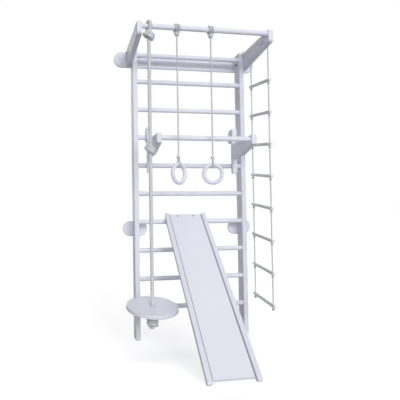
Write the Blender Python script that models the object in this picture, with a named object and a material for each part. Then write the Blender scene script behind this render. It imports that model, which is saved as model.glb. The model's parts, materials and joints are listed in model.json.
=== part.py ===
"""Indoor climbing frame: wall bars with top arms, a climbing rope with a disc seat, two rings,
a rope ladder, a hook-on pull-up bar and a hook-on slide.

Lengths are metres, +Z is up and +X runs along the rungs, to the right as one faces the bars.
The wall is behind, at +Y, and the floor is z = 0. Pieces are laid out from the plane of the
uprights' front faces, y = 0, and an empty then moves the whole so that its origin is the middle
of its footprint. Every size is a named value, and what seats on a piece takes its place from
that piece's values.
"""
from math import acos, asin, atan2, cos, hypot, pi, radians, sin, sqrt, tan

import bmesh
import bpy
import numpy as np
from mathutils import Matrix, Vector

# Clearances shared by all pieces
SEAT_GAP = 0.0003
ROPE_GAP = 0.0004
CUT_OVERRUN = 0.010
SMOOTH_ANGLE = radians(35.0)
EDGE_ANGLE = radians(50.0)

# Uprights and rungs
FRAME_WIDTH = 0.890
UPRIGHT_WIDTH = 0.036
UPRIGHT_DEPTH = 0.120
UPRIGHT_EDGE = 0.004
RUNG_COUNT = 10
RUNG_DIAMETER = 0.035
RUNG_PITCH = 0.215
LOWEST_RUNG_HEIGHT = 0.240
TOP_RUNG_STEP = 0.205
TOP_RUNG_COVER = 0.055
RUNG_SETBACK = 0.026
RUNG_SOCKET_DEPTH = 0.020
RUNG_SIDES = 28

# Wall batten and the two lower wall plates
WALL_BOARD_THICKNESS = 0.020
BATTEN_OVERHANG = 0.130
BATTEN_HEIGHT = 0.120
BATTEN_TOP_DROP = 0.002
PLATE_LENGTH = 0.190
PLATE_HEIGHT = 0.118
PLATE_CENTRE_HEIGHT = 0.834
WALL_HOLE_DIAMETER = 0.008
WALL_HOLE_SINK_DIAMETER = 0.016
WALL_HOLE_SINK_DEPTH = 0.004
BATTEN_HOLE_INSET = 0.045
PLATE_HOLE_SPACING = 0.122
BOARD_EDGE = 0.003

# Top arms
ARM_THICKNESS = 0.036
ARM_REACH = 0.486
ARM_BACK_HEIGHT = 0.127
ARM_FRONT_HEIGHT = 0.086
ARM_CORNER_RADIUS = 0.022
ARM_TOP_RADIUS = 0.006
ARM_EDGE = 0.003
BAR_DIAMETER = 0.035
BAR_INSET = 0.024
BAR_SOCKET_DEPTH = 0.020

# Bolts that hold the arms to the uprights
BOLT_DIAMETER = 0.008
BOLT_HOLE_PLAY = 0.0004
BOLT_HEAD_DIAMETER = 0.022
BOLT_HEAD_HEIGHT = 0.007
BOLT_SETBACK = 0.060
BOLT_TOP_DROP = 0.028
BOLT_SPACING = 0.056
BOLT_TAIL = 0.009
BOLT_DOME_SHARES = ((0.35, 1.0), (0.75, 0.8), (1.0, 0.25), (1.0, 0.0))
NUT_WIDTH = 0.015
NUT_FLATS = 0.008
NUT_DOME = 0.005
NUT_DOME_SHARES = ((0.80, 0.55), (0.35, 1.0))

# Rope ladder on the right arm
LADDER_ROPE_DIAMETER = 0.010
LADDER_FRONT_SETBACK = 0.120
LADDER_BACK_CLEARANCE = 0.041
LADDER_FRONT_DROP = 0.058
LADDER_BACK_DROP = 0.017
LADDER_STANDOFF = 0.009
LADDER_KNOT_DIAMETER = 0.024
LADDER_KNOT_LENGTH = 0.022
LADDER_RUNG_COUNT = 8
LADDER_RUNG_DIAMETER = 0.022
LADDER_RUNG_OVERHANG = 0.026
LADDER_RUNG_PITCH = 0.2317
LADDER_FIRST_DROP = 0.265
LADDER_HOLE_PLAY = 0.0006
LADDER_POINT_STEP = 0.030
LADDER_STOPPER_SHARES = (0.60, 0.85, 1.0, 1.0, 1.0, 0.95, 0.80)
LADDER_SHOULDER_SHARE = 0.25
ROUND_END_ANGLES = (pi / 6, pi / 3, 5 * pi / 12)

# Climbing rope and its disc seat
ROPE_DIAMETER = 0.025
ROPE_ARM_GAP = 0.002
TOP_KNOT_DIAMETER = 0.090
TOP_KNOT_HEIGHT = 0.076
TOP_KNOT_DROP = 0.040
TOP_KNOT_CUT_SHARE = 0.72
MIDDLE_KNOT_DIAMETER = 0.080
MIDDLE_KNOT_HEIGHT = 0.072
MIDDLE_KNOT_DROP = 0.826
DISC_DROP = 1.868
DISC_DIAMETER = 0.345
DISC_THICKNESS = 0.025
DISC_EDGE_RADIUS = 0.007
DISC_HOLE_DIAMETER = 0.034
DISC_TILT_FORWARD = radians(12.5)
DISC_TILT_RIGHT = radians(3.5)
END_KNOT_DIAMETER = 0.080
END_KNOT_HEIGHT = 0.140
END_KNOT_CUT_SHARE = 0.86
EYE_LEG_SPACING = 0.028
STRAIGHT_LEG_SHARE = 0.25
ROPE_POINT_STEP = 0.060

# Gymnastic rings
RING_ROPE_DIAMETER = 0.011
RING_LEFT_X = -0.206
RING_RIGHT_X = 0.032
RING_DROP = 0.988
RING_DIAMETER = 0.150
RING_TUBE = 0.026
RING_LEFT_TURN = radians(36.0)
RING_RIGHT_TURN = radians(-8.0)
RING_WRAP_PASSES = 3
RING_WRAP_PITCH = 0.0125
RING_WRAP_DROP = 0.046
RING_WRAP_DRAW_IN = 0.006
RING_LEG_SPACING = 0.013
RING_LEG_SHARE = 0.5
RING_HITCH_DIAMETER = 0.034
RING_HITCH_HEIGHT = 0.014
RING_HITCH_SHARES = (1.0, 1.0, 0.9, 0.6)
RING_KNOT_DIAMETER = 0.028
RING_KNOT_HEIGHT = 0.026
RING_KNOT_SHARES = (0.4, 0.8, 1.0, 1.0, 0.9)
RING_KNOT_RISE = 0.033
RING_POINT_STEP = 0.033

# Hook-on pull-up bar
PULL_UP_RUNG = 7
PULL_UP_RIGHT_CLEARANCE = 0.0443
PULL_UP_BOARD = 0.036
PULL_UP_ROPE_CLEARANCE = 0.012
PULL_UP_RING_CLEARANCE = 0.064
PULL_UP_BAR_DROP = 0.071
PULL_UP_FRONT_MARGIN = 0.032
PULL_UP_TOP_MARGIN = 0.029
PULL_UP_FRONT_HEIGHT = 0.066
PULL_UP_BACK_HEIGHT = 0.116
PULL_UP_FLAT = 0.170
PULL_UP_CORNER = 0.006
HOOK_RISE = 0.072
HOOK_FRONT = 0.038
HOOK_TONGUE = 0.031
HOOK_TONGUE_DROP = 0.030
HOOK_CHAMFER = 0.026
HOOK_TAIL = 0.060

# Hook-on slide
SLIDE_RUNG = 4
SLIDE_ANGLE = radians(40.6)
SLIDE_WIDTH = 0.320
SLIDE_DISC_CLEARANCE = 0.016
SLIDE_TOP_RISE = 0.055
SLIDE_TOP_LEAD = 0.008
DECK_THICKNESS = 0.016
DECK_GROOVE = 0.008
DECK_SHORT = 0.026
RAIL_WIDTH = 0.033
RAIL_HEIGHT = 0.040
RAIL_PROUD = 0.018
RAIL_EDGE = 0.004
RAIL_FOOT_FLAT = 0.008
SLIDE_HOOK_SPACING = 0.124
SLIDE_HOOK_LENGTH = 0.125
SLIDE_HOOK_TOE = 0.018
SLIDE_HOOK_BOARD = 0.036
SLIDE_HOOK_BELOW = 0.004
SLIDE_CHAMFER_SHARE = 1 / 3

# Faces on round pieces
SMALL_SIDES = 12
HEXAGON_SIDES = 6
LADDER_RUNG_SIDES = 16
LADDER_HOLE_SIDES = 10
DISC_SIDES = 48
RING_SIDES = 32
RING_TUBE_SIDES = 12
ARC_STEPS = 8
CORNER_STEPS = 4
LOOP_POINTS = 24
KNOT_STEPS = 10
LADDER_KNOT_STEPS = 5

# Colours of the finishes
WHITE_PAINT = (0.800, 0.800, 0.870, 1.0)
ROPE_WHITE = (0.720, 0.725, 0.735, 1.0)
STEEL_GREY = (0.560, 0.570, 0.580, 1.0)

# Places worked out from the sizes above
HALF_WIDTH = FRAME_WIDTH / 2
INNER_X = HALF_WIDTH - UPRIGHT_WIDTH
UPRIGHT_MID_X = HALF_WIDTH - UPRIGHT_WIDTH / 2
RUNG_RADIUS = RUNG_DIAMETER / 2
RUNG_SEAT_RADIUS = RUNG_RADIUS + SEAT_GAP
RUNG_HEIGHTS = [LOWEST_RUNG_HEIGHT + k * RUNG_PITCH for k in range(RUNG_COUNT - 1)]
RUNG_HEIGHTS.append(RUNG_HEIGHTS[-1] + TOP_RUNG_STEP)
FRAME_HEIGHT = RUNG_HEIGHTS[-1] + TOP_RUNG_COVER
BOARD_FRONT_Y = UPRIGHT_DEPTH + SEAT_GAP
BOARD_BACK_Y = BOARD_FRONT_Y + WALL_BOARD_THICKNESS
BATTEN_LENGTH = FRAME_WIDTH + 2 * BATTEN_OVERHANG
ARM_INNER_X = HALF_WIDTH + SEAT_GAP
ARM_OUTER_X = ARM_INNER_X + ARM_THICKNESS
BAR_Y = -ARM_REACH + BAR_INSET
BAR_Z = FRAME_HEIGHT - BAR_INSET
BAR_RADIUS = BAR_DIAMETER / 2
LADDER_SPREAD = ARM_REACH - LADDER_FRONT_SETBACK - LADDER_BACK_CLEARANCE
ROPE_X = -ARM_INNER_X + TOP_KNOT_DIAMETER / 2 + ROPE_ARM_GAP
PULL_UP_LEFT_X = ROPE_X + MIDDLE_KNOT_DIAMETER / 2 + PULL_UP_ROPE_CLEARANCE
PULL_UP_RIGHT_X = INNER_X - PULL_UP_RIGHT_CLEARANCE - PULL_UP_BOARD
PULL_UP_Y = BAR_Y + PULL_UP_RING_CLEARANCE
SLIDE_LEFT_X = ROPE_X + DISC_DIAMETER / 2 + SLIDE_DISC_CLEARANCE
SLIDE_MID_X = SLIDE_LEFT_X + SLIDE_WIDTH / 2


def clear_scene():
    """Removes whatever the scene holds before the model is made."""
    for thing in list(bpy.data.objects):
        bpy.data.objects.remove(thing, do_unlink=True)


def finish(name, colour, roughness, metallic=0.0):
    """Makes a Principled finish for one sub-part."""
    made = bpy.data.materials.new(name)
    made.use_nodes = True
    shader = made.node_tree.nodes["Principled BSDF"]
    shader.inputs["Base Color"].default_value = colour
    shader.inputs["Roughness"].default_value = roughness
    shader.inputs["Metallic"].default_value = metallic
    return made


def paint(name):
    """White furniture paint on wood."""
    return finish(name + "_paint", WHITE_PAINT, 0.45)


def cord_finish(name):
    """Pale twisted cotton or hemp rope."""
    return finish(name + "_fibre", ROPE_WHITE, 0.85)


def steel(name):
    """Zinc-plated steel."""
    return finish(name + "_steel", STEEL_GREY, 0.35, 1.0)


def empty(name, place, parent=None):
    """An empty that carries pieces: one on each joint's axis, and one at the model's origin."""
    made = bpy.data.objects.new(name, None)
    bpy.context.scene.collection.objects.link(made)
    made.location = place
    made.parent = parent
    return made


def carry(pieces, holder):
    """Hangs pieces on an empty, so that they keep their places and turn about it."""
    for piece in pieces:
        piece.parent = holder
        piece.matrix_parent_inverse = Matrix.Translation(holder.location).inverted()


def slide_foot_y():
    """How far forward the rails' tips reach, past the corner that their edges' rounding takes."""
    length = rail_length()
    rounding = RAIL_EDGE * (cos(SLIDE_ANGLE) + sin(SLIDE_ANGLE) - 1)
    return slide_top()[0] - length * cos(SLIDE_ANGLE) - RAIL_PROUD * sin(SLIDE_ANGLE) + rounding


def slide_top():
    """Where the deck's upper surface ends at the top, as (y, z)."""
    return RUNG_SETBACK - SLIDE_TOP_LEAD, RUNG_HEIGHTS[SLIDE_RUNG - 1] + SLIDE_TOP_RISE


def rail_length():
    """Length of the rails down the slope, from the deck's top end to their tips on the floor."""
    drop = slide_top()[1] - (RAIL_HEIGHT - RAIL_PROUD) * cos(SLIDE_ANGLE) + RAIL_FOOT_FLAT
    return drop / sin(SLIDE_ANGLE)


def mesh_piece(name, shape, material, smooth=True):
    """Turns a bmesh into a named object whose faces point out."""
    bmesh.ops.recalc_face_normals(shape, faces=shape.faces)
    mesh = bpy.data.meshes.new(name)
    shape.to_mesh(mesh)
    shape.free()
    if smooth:
        mesh.shade_smooth()
        mesh.set_sharp_from_angle(angle=SMOOTH_ANGLE)
    mesh.materials.append(material)
    made = bpy.data.objects.new(name, mesh)
    bpy.context.scene.collection.objects.link(made)
    return made


def hide_cutter(cutter):
    """Marks an object as a cutter, which is no part of the model."""
    cutter.hide_render = True
    cutter.display_type = "WIRE"
    return cutter


def cut(piece, shape):
    """Cuts a bmesh out of a piece with an exact Boolean."""
    bmesh.ops.recalc_face_normals(shape, faces=shape.faces)
    mesh = bpy.data.meshes.new(piece.name + "_cutter")
    shape.to_mesh(mesh)
    shape.free()
    cutter = bpy.data.objects.new(piece.name + "_cutter", mesh)
    bpy.context.scene.collection.objects.link(cutter)
    hide_cutter(cutter)
    boolean = piece.modifiers.new("cut", "BOOLEAN")
    boolean.operation = "DIFFERENCE"
    boolean.solver = "EXACT"
    boolean.object = cutter
    return piece


def soften(piece, width, segments=2):
    """Rounds the sharp edges of a piece before anything is cut from it."""
    bevel = piece.modifiers.new("edges", "BEVEL")
    bevel.width = width
    bevel.segments = segments
    bevel.limit_method = "ANGLE"
    bevel.angle_limit = EDGE_ANGLE
    return piece


def add_box(shape, low, high):
    """Adds a box between two corners."""
    low, high = Vector(low), Vector(high)
    place = Matrix.Translation((low + high) / 2) @ Matrix.Diagonal((*(high - low), 1.0))
    bmesh.ops.create_cube(shape, size=1.0, matrix=place)


def add_bar(shape, start, end, radius, sides, end_radius=None):
    """Adds a round bar, or a cone, with its ends at two points."""
    start, end = Vector(start), Vector(end)
    along = end - start
    place = Matrix.Translation((start + end) / 2) @ along.to_track_quat("Z", "Y").to_matrix().to_4x4()
    last = radius if end_radius is None else end_radius
    bmesh.ops.create_cone(shape, cap_ends=True, segments=sides, radius1=radius, radius2=last,
                          depth=along.length, matrix=place)


def add_prism(shape, outline, low, high, place):
    """Adds a flat outline drawn out from low to high along its third axis, then placed."""
    base = [shape.verts.new(place @ Vector((a, b, low))) for a, b in outline]
    top = [shape.verts.new(place @ Vector((a, b, high))) for a, b in outline]
    shape.faces.new(list(reversed(base)))
    shape.faces.new(top)
    for k, vert in enumerate(base):
        after = (k + 1) % len(base)
        shape.faces.new((vert, base[after], top[after], top[k]))


def turned_rings(shape, profile, sides, place):
    """Rings of points about the third axis of a place, one for each (radius, height) of a profile."""
    rings = []
    for radius, height in profile:
        angles = [2 * pi * k / sides for k in range(sides)]
        ring = [Vector((radius * cos(a), radius * sin(a), height)) for a in angles]
        rings.append([shape.verts.new(place @ point) for point in ring])
    return rings


def add_turned(shape, profile, sides, place):
    """Adds a solid turned about its third axis from (radius, height) rings, with flat ends."""
    rings = turned_rings(shape, profile, sides, place)
    for lower, upper in zip(rings, rings[1:]):
        for k in range(sides):
            after = (k + 1) % sides
            shape.faces.new((lower[k], lower[after], upper[after], upper[k]))
    shape.faces.new(list(reversed(rings[0])))
    shape.faces.new(rings[-1])


def add_turned_loop(shape, profile, sides, place):
    """Adds a ring-shaped solid, turned from a closed loop of (radius, height) points."""
    rings = turned_rings(shape, profile, sides, place)
    for row, ring in enumerate(rings):
        upper = rings[(row + 1) % len(rings)]
        for k in range(sides):
            after = (k + 1) % sides
            shape.faces.new((ring[k], ring[after], upper[after], upper[k]))


# The side plane's first axis is +Y, its second +Z and its third +X
SIDE_PLANE = Matrix(((0, 0, 1, 0), (1, 0, 0, 0), (0, 1, 0, 0), (0, 0, 0, 1)))
# The wall plane's first axis is +X, its second +Z and its third -Y
WALL_PLANE = Matrix(((1, 0, 0, 0), (0, 0, -1, 0), (0, 1, 0, 0), (0, 0, 0, 1)))


def rounded(corners, steps=CORNER_STEPS):
    """Rounds an outline's corners, each given as (first, second, radius)."""
    points = []
    for k, (a, b, radius) in enumerate(corners):
        here = Vector((a, b))
        if radius == 0:
            points.append((a, b))
            continue
        before = (Vector(corners[k - 1][:2]) - here).normalized()
        after = (Vector(corners[(k + 1) % len(corners)][:2]) - here).normalized()
        half = before.angle(after) / 2
        centre = here + (before + after).normalized() * radius / sin(half)
        first = here + before * radius / tan(half) - centre
        last = here + after * radius / tan(half) - centre
        start = atan2(first.y, first.x)
        turn = (atan2(last.y, last.x) - start + pi) % (2 * pi) - pi
        for step in range(steps + 1):
            angle = start + turn * step / steps
            points.append((centre.x + radius * cos(angle), centre.y + radius * sin(angle)))
    return points


def stadium(length, height, centre, steps=ARC_STEPS):
    """A board's outline with half-round ends."""
    radius = height / 2
    reach = length / 2 - radius
    points = []
    for side, start in ((1, -pi / 2), (-1, pi / 2)):
        for step in range(steps + 1):
            angle = start + pi * step / steps
            points.append((centre[0] + side * reach + radius * cos(angle), centre[1] + radius * sin(angle)))
    return points


def tube(name, points, diameter, resolution, material, widths=None):
    """A round cord along points. widths, where given, are its width at each point over its diameter."""
    curve = bpy.data.curves.new(name, "CURVE")
    curve.dimensions = "3D"
    curve.bevel_depth = diameter / 2
    curve.bevel_resolution = resolution
    curve.use_fill_caps = True
    spline = curve.splines.new("POLY")
    spline.points.add(len(points) - 1)
    for k, (point, place) in enumerate(zip(spline.points, points)):
        point.co = (*place, 1.0)
        point.radius = 1.0 if widths is None else widths[k]
    curve.materials.append(material)
    made = bpy.data.objects.new(name, curve)
    bpy.context.scene.collection.objects.link(made)
    return made


def sides():
    """The left and the right side of the frame."""
    return (("left", -1), ("right", 1))


def aimed(place, direction):
    """A frame at a place whose third axis points along a direction."""
    return Matrix.Translation(place) @ Vector(direction).to_track_quat("Z", "Y").to_matrix().to_4x4()


def bolt_places():
    """Name, side and height of each arm bolt's axis."""
    rows = (("upper", BOLT_TOP_DROP), ("lower", BOLT_TOP_DROP + BOLT_SPACING))
    return [(f"{name}_{row}", side, FRAME_HEIGHT - drop) for name, side in sides() for row, drop in rows]


def build_uprights():
    """Two square-edged posts with a row of blind sockets for the rungs."""
    made = []
    for name, side in sides():
        shape = bmesh.new()
        inner, outer = side * INNER_X, side * HALF_WIDTH
        add_box(shape, (min(inner, outer), 0, 0), (max(inner, outer), UPRIGHT_DEPTH, FRAME_HEIGHT))
        upright = soften(mesh_piece("upright_" + name, shape, paint("upright_" + name)), UPRIGHT_EDGE)
        sockets = bmesh.new()
        for height in RUNG_HEIGHTS:
            add_bar(sockets, (inner - side * CUT_OVERRUN, RUNG_SETBACK, height),
                    (inner + side * (RUNG_SOCKET_DEPTH + SEAT_GAP), RUNG_SETBACK, height),
                    RUNG_SEAT_RADIUS, RUNG_SIDES)
        for _, bolt_side, height in bolt_places():
            if bolt_side == side:
                add_bar(sockets, (inner - side * CUT_OVERRUN, BOLT_SETBACK, height),
                        (outer + side * CUT_OVERRUN, BOLT_SETBACK, height),
                        (BOLT_DIAMETER + BOLT_HOLE_PLAY) / 2 + SEAT_GAP, SMALL_SIDES)
        made.append(cut(upright, sockets))
    return made


def build_rungs():
    """Ten round rungs, each let into both uprights."""
    made = []
    half = INNER_X + RUNG_SOCKET_DEPTH
    for number, height in enumerate(RUNG_HEIGHTS, start=1):
        shape = bmesh.new()
        add_bar(shape, (-half, RUNG_SETBACK, height), (half, RUNG_SETBACK, height), RUNG_RADIUS, RUNG_SIDES)
        name = f"rung_{number:02d}"
        made.append(mesh_piece(name, shape, paint(name)))
    return made


def wall_board(name, centre, length, height, hole_places):
    """A board with half-round ends behind the uprights, bored and countersunk for the wall."""
    shape = bmesh.new()
    add_prism(shape, stadium(length, height, centre), -BOARD_BACK_Y, -BOARD_FRONT_Y, WALL_PLANE)
    board = soften(mesh_piece(name, shape, paint(name)), BOARD_EDGE, 1)
    holes = bmesh.new()
    slope = (WALL_HOLE_SINK_DIAMETER - WALL_HOLE_DIAMETER) / 2 / WALL_HOLE_SINK_DEPTH
    for x, z in hole_places:
        profile = [(WALL_HOLE_SINK_DIAMETER / 2 + CUT_OVERRUN * slope, -CUT_OVERRUN),
                   (WALL_HOLE_DIAMETER / 2, WALL_HOLE_SINK_DEPTH),
                   (WALL_HOLE_DIAMETER / 2, WALL_BOARD_THICKNESS + CUT_OVERRUN)]
        add_turned(holes, profile, SMALL_SIDES, aimed((x, BOARD_FRONT_Y, z), (0, 1, 0)))
    return cut(board, holes)


def build_wall_boards():
    """The long batten at the top and a short plate behind each upright lower down."""
    batten_z = FRAME_HEIGHT - BATTEN_TOP_DROP - BATTEN_HEIGHT / 2
    reach = BATTEN_LENGTH / 2 - BATTEN_HOLE_INSET
    made = [wall_board("wall_batten", (0, batten_z), BATTEN_LENGTH, BATTEN_HEIGHT,
                       [(-reach, batten_z), (reach, batten_z)])]
    for name, side in sides():
        middle = side * UPRIGHT_MID_X
        half = PLATE_HOLE_SPACING / 2
        holes = [(x, PLATE_CENTRE_HEIGHT) for x in (middle - half, middle + half)]
        made.append(wall_board("wall_plate_" + name, (middle, PLATE_CENTRE_HEIGHT), PLATE_LENGTH,
                               PLATE_HEIGHT, holes))
    return made


def ladder_anchor_places():
    """Where the ladder's two ropes pass through the right arm, front one first."""
    front = -ARM_REACH + LADDER_FRONT_SETBACK
    return [("front", front, FRAME_HEIGHT - LADDER_FRONT_DROP),
            ("back", front + LADDER_SPREAD, FRAME_HEIGHT - LADDER_BACK_DROP)]


def build_arms():
    """Tapered arms bolted to the outer sides of the uprights, with a socket for the top bar."""
    top, bottom = FRAME_HEIGHT, FRAME_HEIGHT - ARM_BACK_HEIGHT
    front_bottom = FRAME_HEIGHT - ARM_FRONT_HEIGHT
    outline = rounded([(UPRIGHT_DEPTH, bottom, 0), (UPRIGHT_DEPTH, top, 0), (-ARM_REACH, top, ARM_TOP_RADIUS),
                       (-ARM_REACH, front_bottom, ARM_CORNER_RADIUS), (0, bottom, 0)])
    made = []
    for name, side in sides():
        shape = bmesh.new()
        inner, outer = side * ARM_INNER_X, side * ARM_OUTER_X
        add_prism(shape, outline, min(inner, outer), max(inner, outer), SIDE_PLANE)
        arm = mesh_piece("arm_" + name, shape, paint("arm_" + name))
        arm = soften(arm, ARM_EDGE, 1)
        holes = bmesh.new()
        socket_end = inner + side * (BAR_SOCKET_DEPTH + SEAT_GAP)
        add_bar(holes, (inner - side * CUT_OVERRUN, BAR_Y, BAR_Z), (socket_end, BAR_Y, BAR_Z),
                BAR_RADIUS + SEAT_GAP, RUNG_SIDES)
        for _, bolt_side, height in bolt_places():
            if bolt_side == side:
                add_bar(holes, (inner - side * CUT_OVERRUN, BOLT_SETBACK, height),
                        (outer + side * CUT_OVERRUN, BOLT_SETBACK, height),
                        (BOLT_DIAMETER + BOLT_HOLE_PLAY) / 2 + SEAT_GAP, SMALL_SIDES)
        arm = cut(arm, holes)
        if side > 0:
            rope_holes = bmesh.new()
            for _, y, z in ladder_anchor_places():
                add_bar(rope_holes, (inner - CUT_OVERRUN, y, z), (outer + CUT_OVERRUN, y, z),
                        LADDER_ROPE_DIAMETER / 2 + LADDER_HOLE_PLAY, SMALL_SIDES)
            arm = cut(arm, rope_holes)
        made.append(arm)
    return made


def build_top_bar():
    """The round bar between the arms' front ends."""
    half = ARM_INNER_X + BAR_SOCKET_DEPTH
    shape = bmesh.new()
    add_bar(shape, (-half, BAR_Y, BAR_Z), (half, BAR_Y, BAR_Z), BAR_RADIUS, RUNG_SIDES)
    return mesh_piece("top_bar", shape, paint("top_bar"))


def build_arm_bolts():
    """Dome-headed bolts through arm and upright, each with a capped nut inside."""
    radius, head = BOLT_DIAMETER / 2, BOLT_HEAD_DIAMETER / 2
    shank = ARM_OUTER_X - INNER_X + BOLT_TAIL
    corner = NUT_WIDTH / 2 / cos(pi / 6)
    flat = NUT_WIDTH / 2
    made = []
    for name, side, height in bolt_places():
        place = aimed((side * (ARM_OUTER_X + SEAT_GAP), BOLT_SETBACK, height), (-side, 0, 0))
        dome = [(head * wide, -BOLT_HEAD_HEIGHT * high) for wide, high in BOLT_DOME_SHARES]
        shape = bmesh.new()
        add_turned(shape, dome + [(radius, 0), (radius, shank)], SMALL_SIDES, place)
        made.append(mesh_piece("arm_bolt_" + name, shape, steel("arm_bolt_" + name)))
        seat = aimed((side * (INNER_X - SEAT_GAP), BOLT_SETBACK, height), (-side, 0, 0))
        shape = bmesh.new()
        profile = [(corner, 0), (corner, NUT_FLATS), (flat, NUT_FLATS)]
        profile += [(flat * wide, NUT_FLATS + NUT_DOME * high) for wide, high in NUT_DOME_SHARES]
        add_turned(shape, profile, HEXAGON_SIDES, seat)
        nut = mesh_piece("arm_nut_" + name, shape, steel("arm_nut_" + name))
        bore = bmesh.new()
        add_turned(bore, [(radius + SEAT_GAP, -CUT_OVERRUN), (radius + SEAT_GAP, BOLT_TAIL + SEAT_GAP)],
                   SMALL_SIDES, seat)
        made.append(cut(nut, bore))
    return made


def knot_widths(steps, ratio):
    """Widths over a round knot: the square root of one less the square of the way along it."""
    return [max(1.0, ratio * sqrt(1 - (2 * k / steps - 1) ** 2)) for k in range(steps + 1)]


def build_ladder():
    """The rope ladder: two ropes through the arm, eight rungs, and a knot under each rung."""
    anchors, ropes, rungs = [], [], []
    places = ladder_anchor_places()
    rope_radius = LADDER_ROPE_DIAMETER / 2
    knot_ratio = LADDER_KNOT_DIAMETER / LADDER_ROPE_DIAMETER
    hang_x = ARM_OUTER_X + LADDER_STANDOFF
    knot_face = ARM_INNER_X - SEAT_GAP
    for name, y, z in places:
        last = len(LADDER_STOPPER_SHARES) - 1
        widths = [knot_ratio * share for share in LADDER_STOPPER_SHARES]
        along = [(knot_face - LADDER_KNOT_LENGTH * (1 - k / last), y, z) for k in range(last + 1)]
        along += [(knot_face, y, z), (ARM_INNER_X, y, z), (ARM_OUTER_X, y, z), (hang_x, y, z)]
        widths += [1.0, 1.0, 1.0, 1.0]
        for angle in ROUND_END_ANGLES:
            along.append((hang_x + rope_radius * sin(angle), y, z))
            widths.append(cos(angle))
        along[last + 1] = (knot_face + SEAT_GAP * LADDER_SHOULDER_SHARE, y, z)
        anchors.append(tube("ladder_anchor_" + name, along, LADDER_ROPE_DIAMETER, 2,
                            cord_finish("ladder_anchor_" + name), widths))
    lean = atan2(places[1][2] - places[0][2], LADDER_SPREAD)
    reach_y, reach_z = cos(lean), sin(lean)
    hole_drop = LADDER_RUNG_DIAMETER / 2 / cos(lean)
    for name, y, z in places:
        top = z - rope_radius - SEAT_GAP
        along, widths = [(hang_x, y, top)], [1.0]
        for k in range(LADDER_RUNG_COUNT):
            under = z - LADDER_FIRST_DROP - k * LADDER_RUNG_PITCH - hole_drop
            start = under - SEAT_GAP - LADDER_KNOT_DIAMETER / 2 * tan(lean)
            above = along[-1][2]
            steps = max(1, round((above - start) / LADDER_POINT_STEP))
            for step in range(1, steps):
                along.append((hang_x, y, above + (start - above) * step / steps))
                widths.append(1.0)
            for step, width in enumerate(knot_widths(LADDER_KNOT_STEPS, knot_ratio)):
                along.append((hang_x, y, start - LADDER_KNOT_LENGTH * step / LADDER_KNOT_STEPS))
                widths.append(width)
        ropes.append(tube("ladder_rope_" + name, along, LADDER_ROPE_DIAMETER, 2,
                          cord_finish("ladder_rope_" + name), widths))
    front = places[0]
    over_y, over_z = LADDER_RUNG_OVERHANG * reach_y, LADDER_RUNG_OVERHANG * reach_z
    for k in range(LADDER_RUNG_COUNT):
        z = front[2] - LADDER_FIRST_DROP - k * LADDER_RUNG_PITCH
        rise = places[1][2] - places[0][2]
        name = f"ladder_rung_{k + 1}"
        shape = bmesh.new()
        add_bar(shape, (hang_x, front[1] - over_y, z - over_z),
                (hang_x, front[1] + LADDER_SPREAD + over_y, z + rise + over_z),
                LADDER_RUNG_DIAMETER / 2, LADDER_RUNG_SIDES)
        rung = mesh_piece(name, shape, paint(name))
        holes = bmesh.new()
        for y, height in ((front[1], z), (front[1] + LADDER_SPREAD, z + rise)):
            add_bar(holes, (hang_x, y, height - LADDER_RUNG_DIAMETER),
                    (hang_x, y, height + LADDER_RUNG_DIAMETER),
                    rope_radius + LADDER_HOLE_PLAY, LADDER_HOLE_SIDES)
        rungs.append(cut(rung, holes))
    return anchors, ropes, rungs


def hitch_path(seat_radius, passes, pitch, drop, leg_spacing, straight, draw_in=0.0):
    """Points of a rope that goes over a round bar and down to a knot below it.

    The rope follows the bar as a helix of seat_radius and leaves it at a tangent on each side.
    Over the height draw_in the two legs come together along the bar, and they run straight down
    to the knot at drop. The bar lies on the first axis, and the points are from its middle.
    """
    half = leg_spacing / 2
    meet = drop - straight - draw_in
    away = hypot(half, meet)
    leave = acos(seat_radius / away) - atan2(meet, half)
    total = pi - 2 * leave + 2 * pi * (passes - 1)
    count = max(2, round(LOOP_POINTS * total / (2 * pi)))
    middle = leave + total / 2
    helix = []
    for k in range(count + 1):
        angle = leave + total * k / count
        along = (angle - middle) / (2 * pi) * pitch
        helix.append((along, seat_radius * cos(angle), seat_radius * sin(angle)))
    wide = helix[0][0]
    near = wide * RING_LEG_SHARE
    first = [(near, half, -drop), (near, half, straight - drop), (wide, half, -meet)]
    last = [(-x, -y, z) for x, y, z in reversed(first)]
    if draw_in == 0:
        first, last = first[:-1], last[1:]
    return first + helix + last


def least_gap(points, diameter, skip):
    """The least gap between parts of a tube that are not next to each other along it."""
    places = np.array(points)
    apart = np.linalg.norm(places[:, None] - places[None, :], axis=2)
    index = np.arange(len(places))
    apart[np.abs(index[:, None] - index[None, :]) < skip] = np.inf
    return apart.min() - diameter


def knot_neck(height, diameter):
    """How far above a knot's middle the rope comes out of it."""
    return height / 2 * sqrt(1 - (ROPE_DIAMETER / diameter) ** 2)


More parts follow.
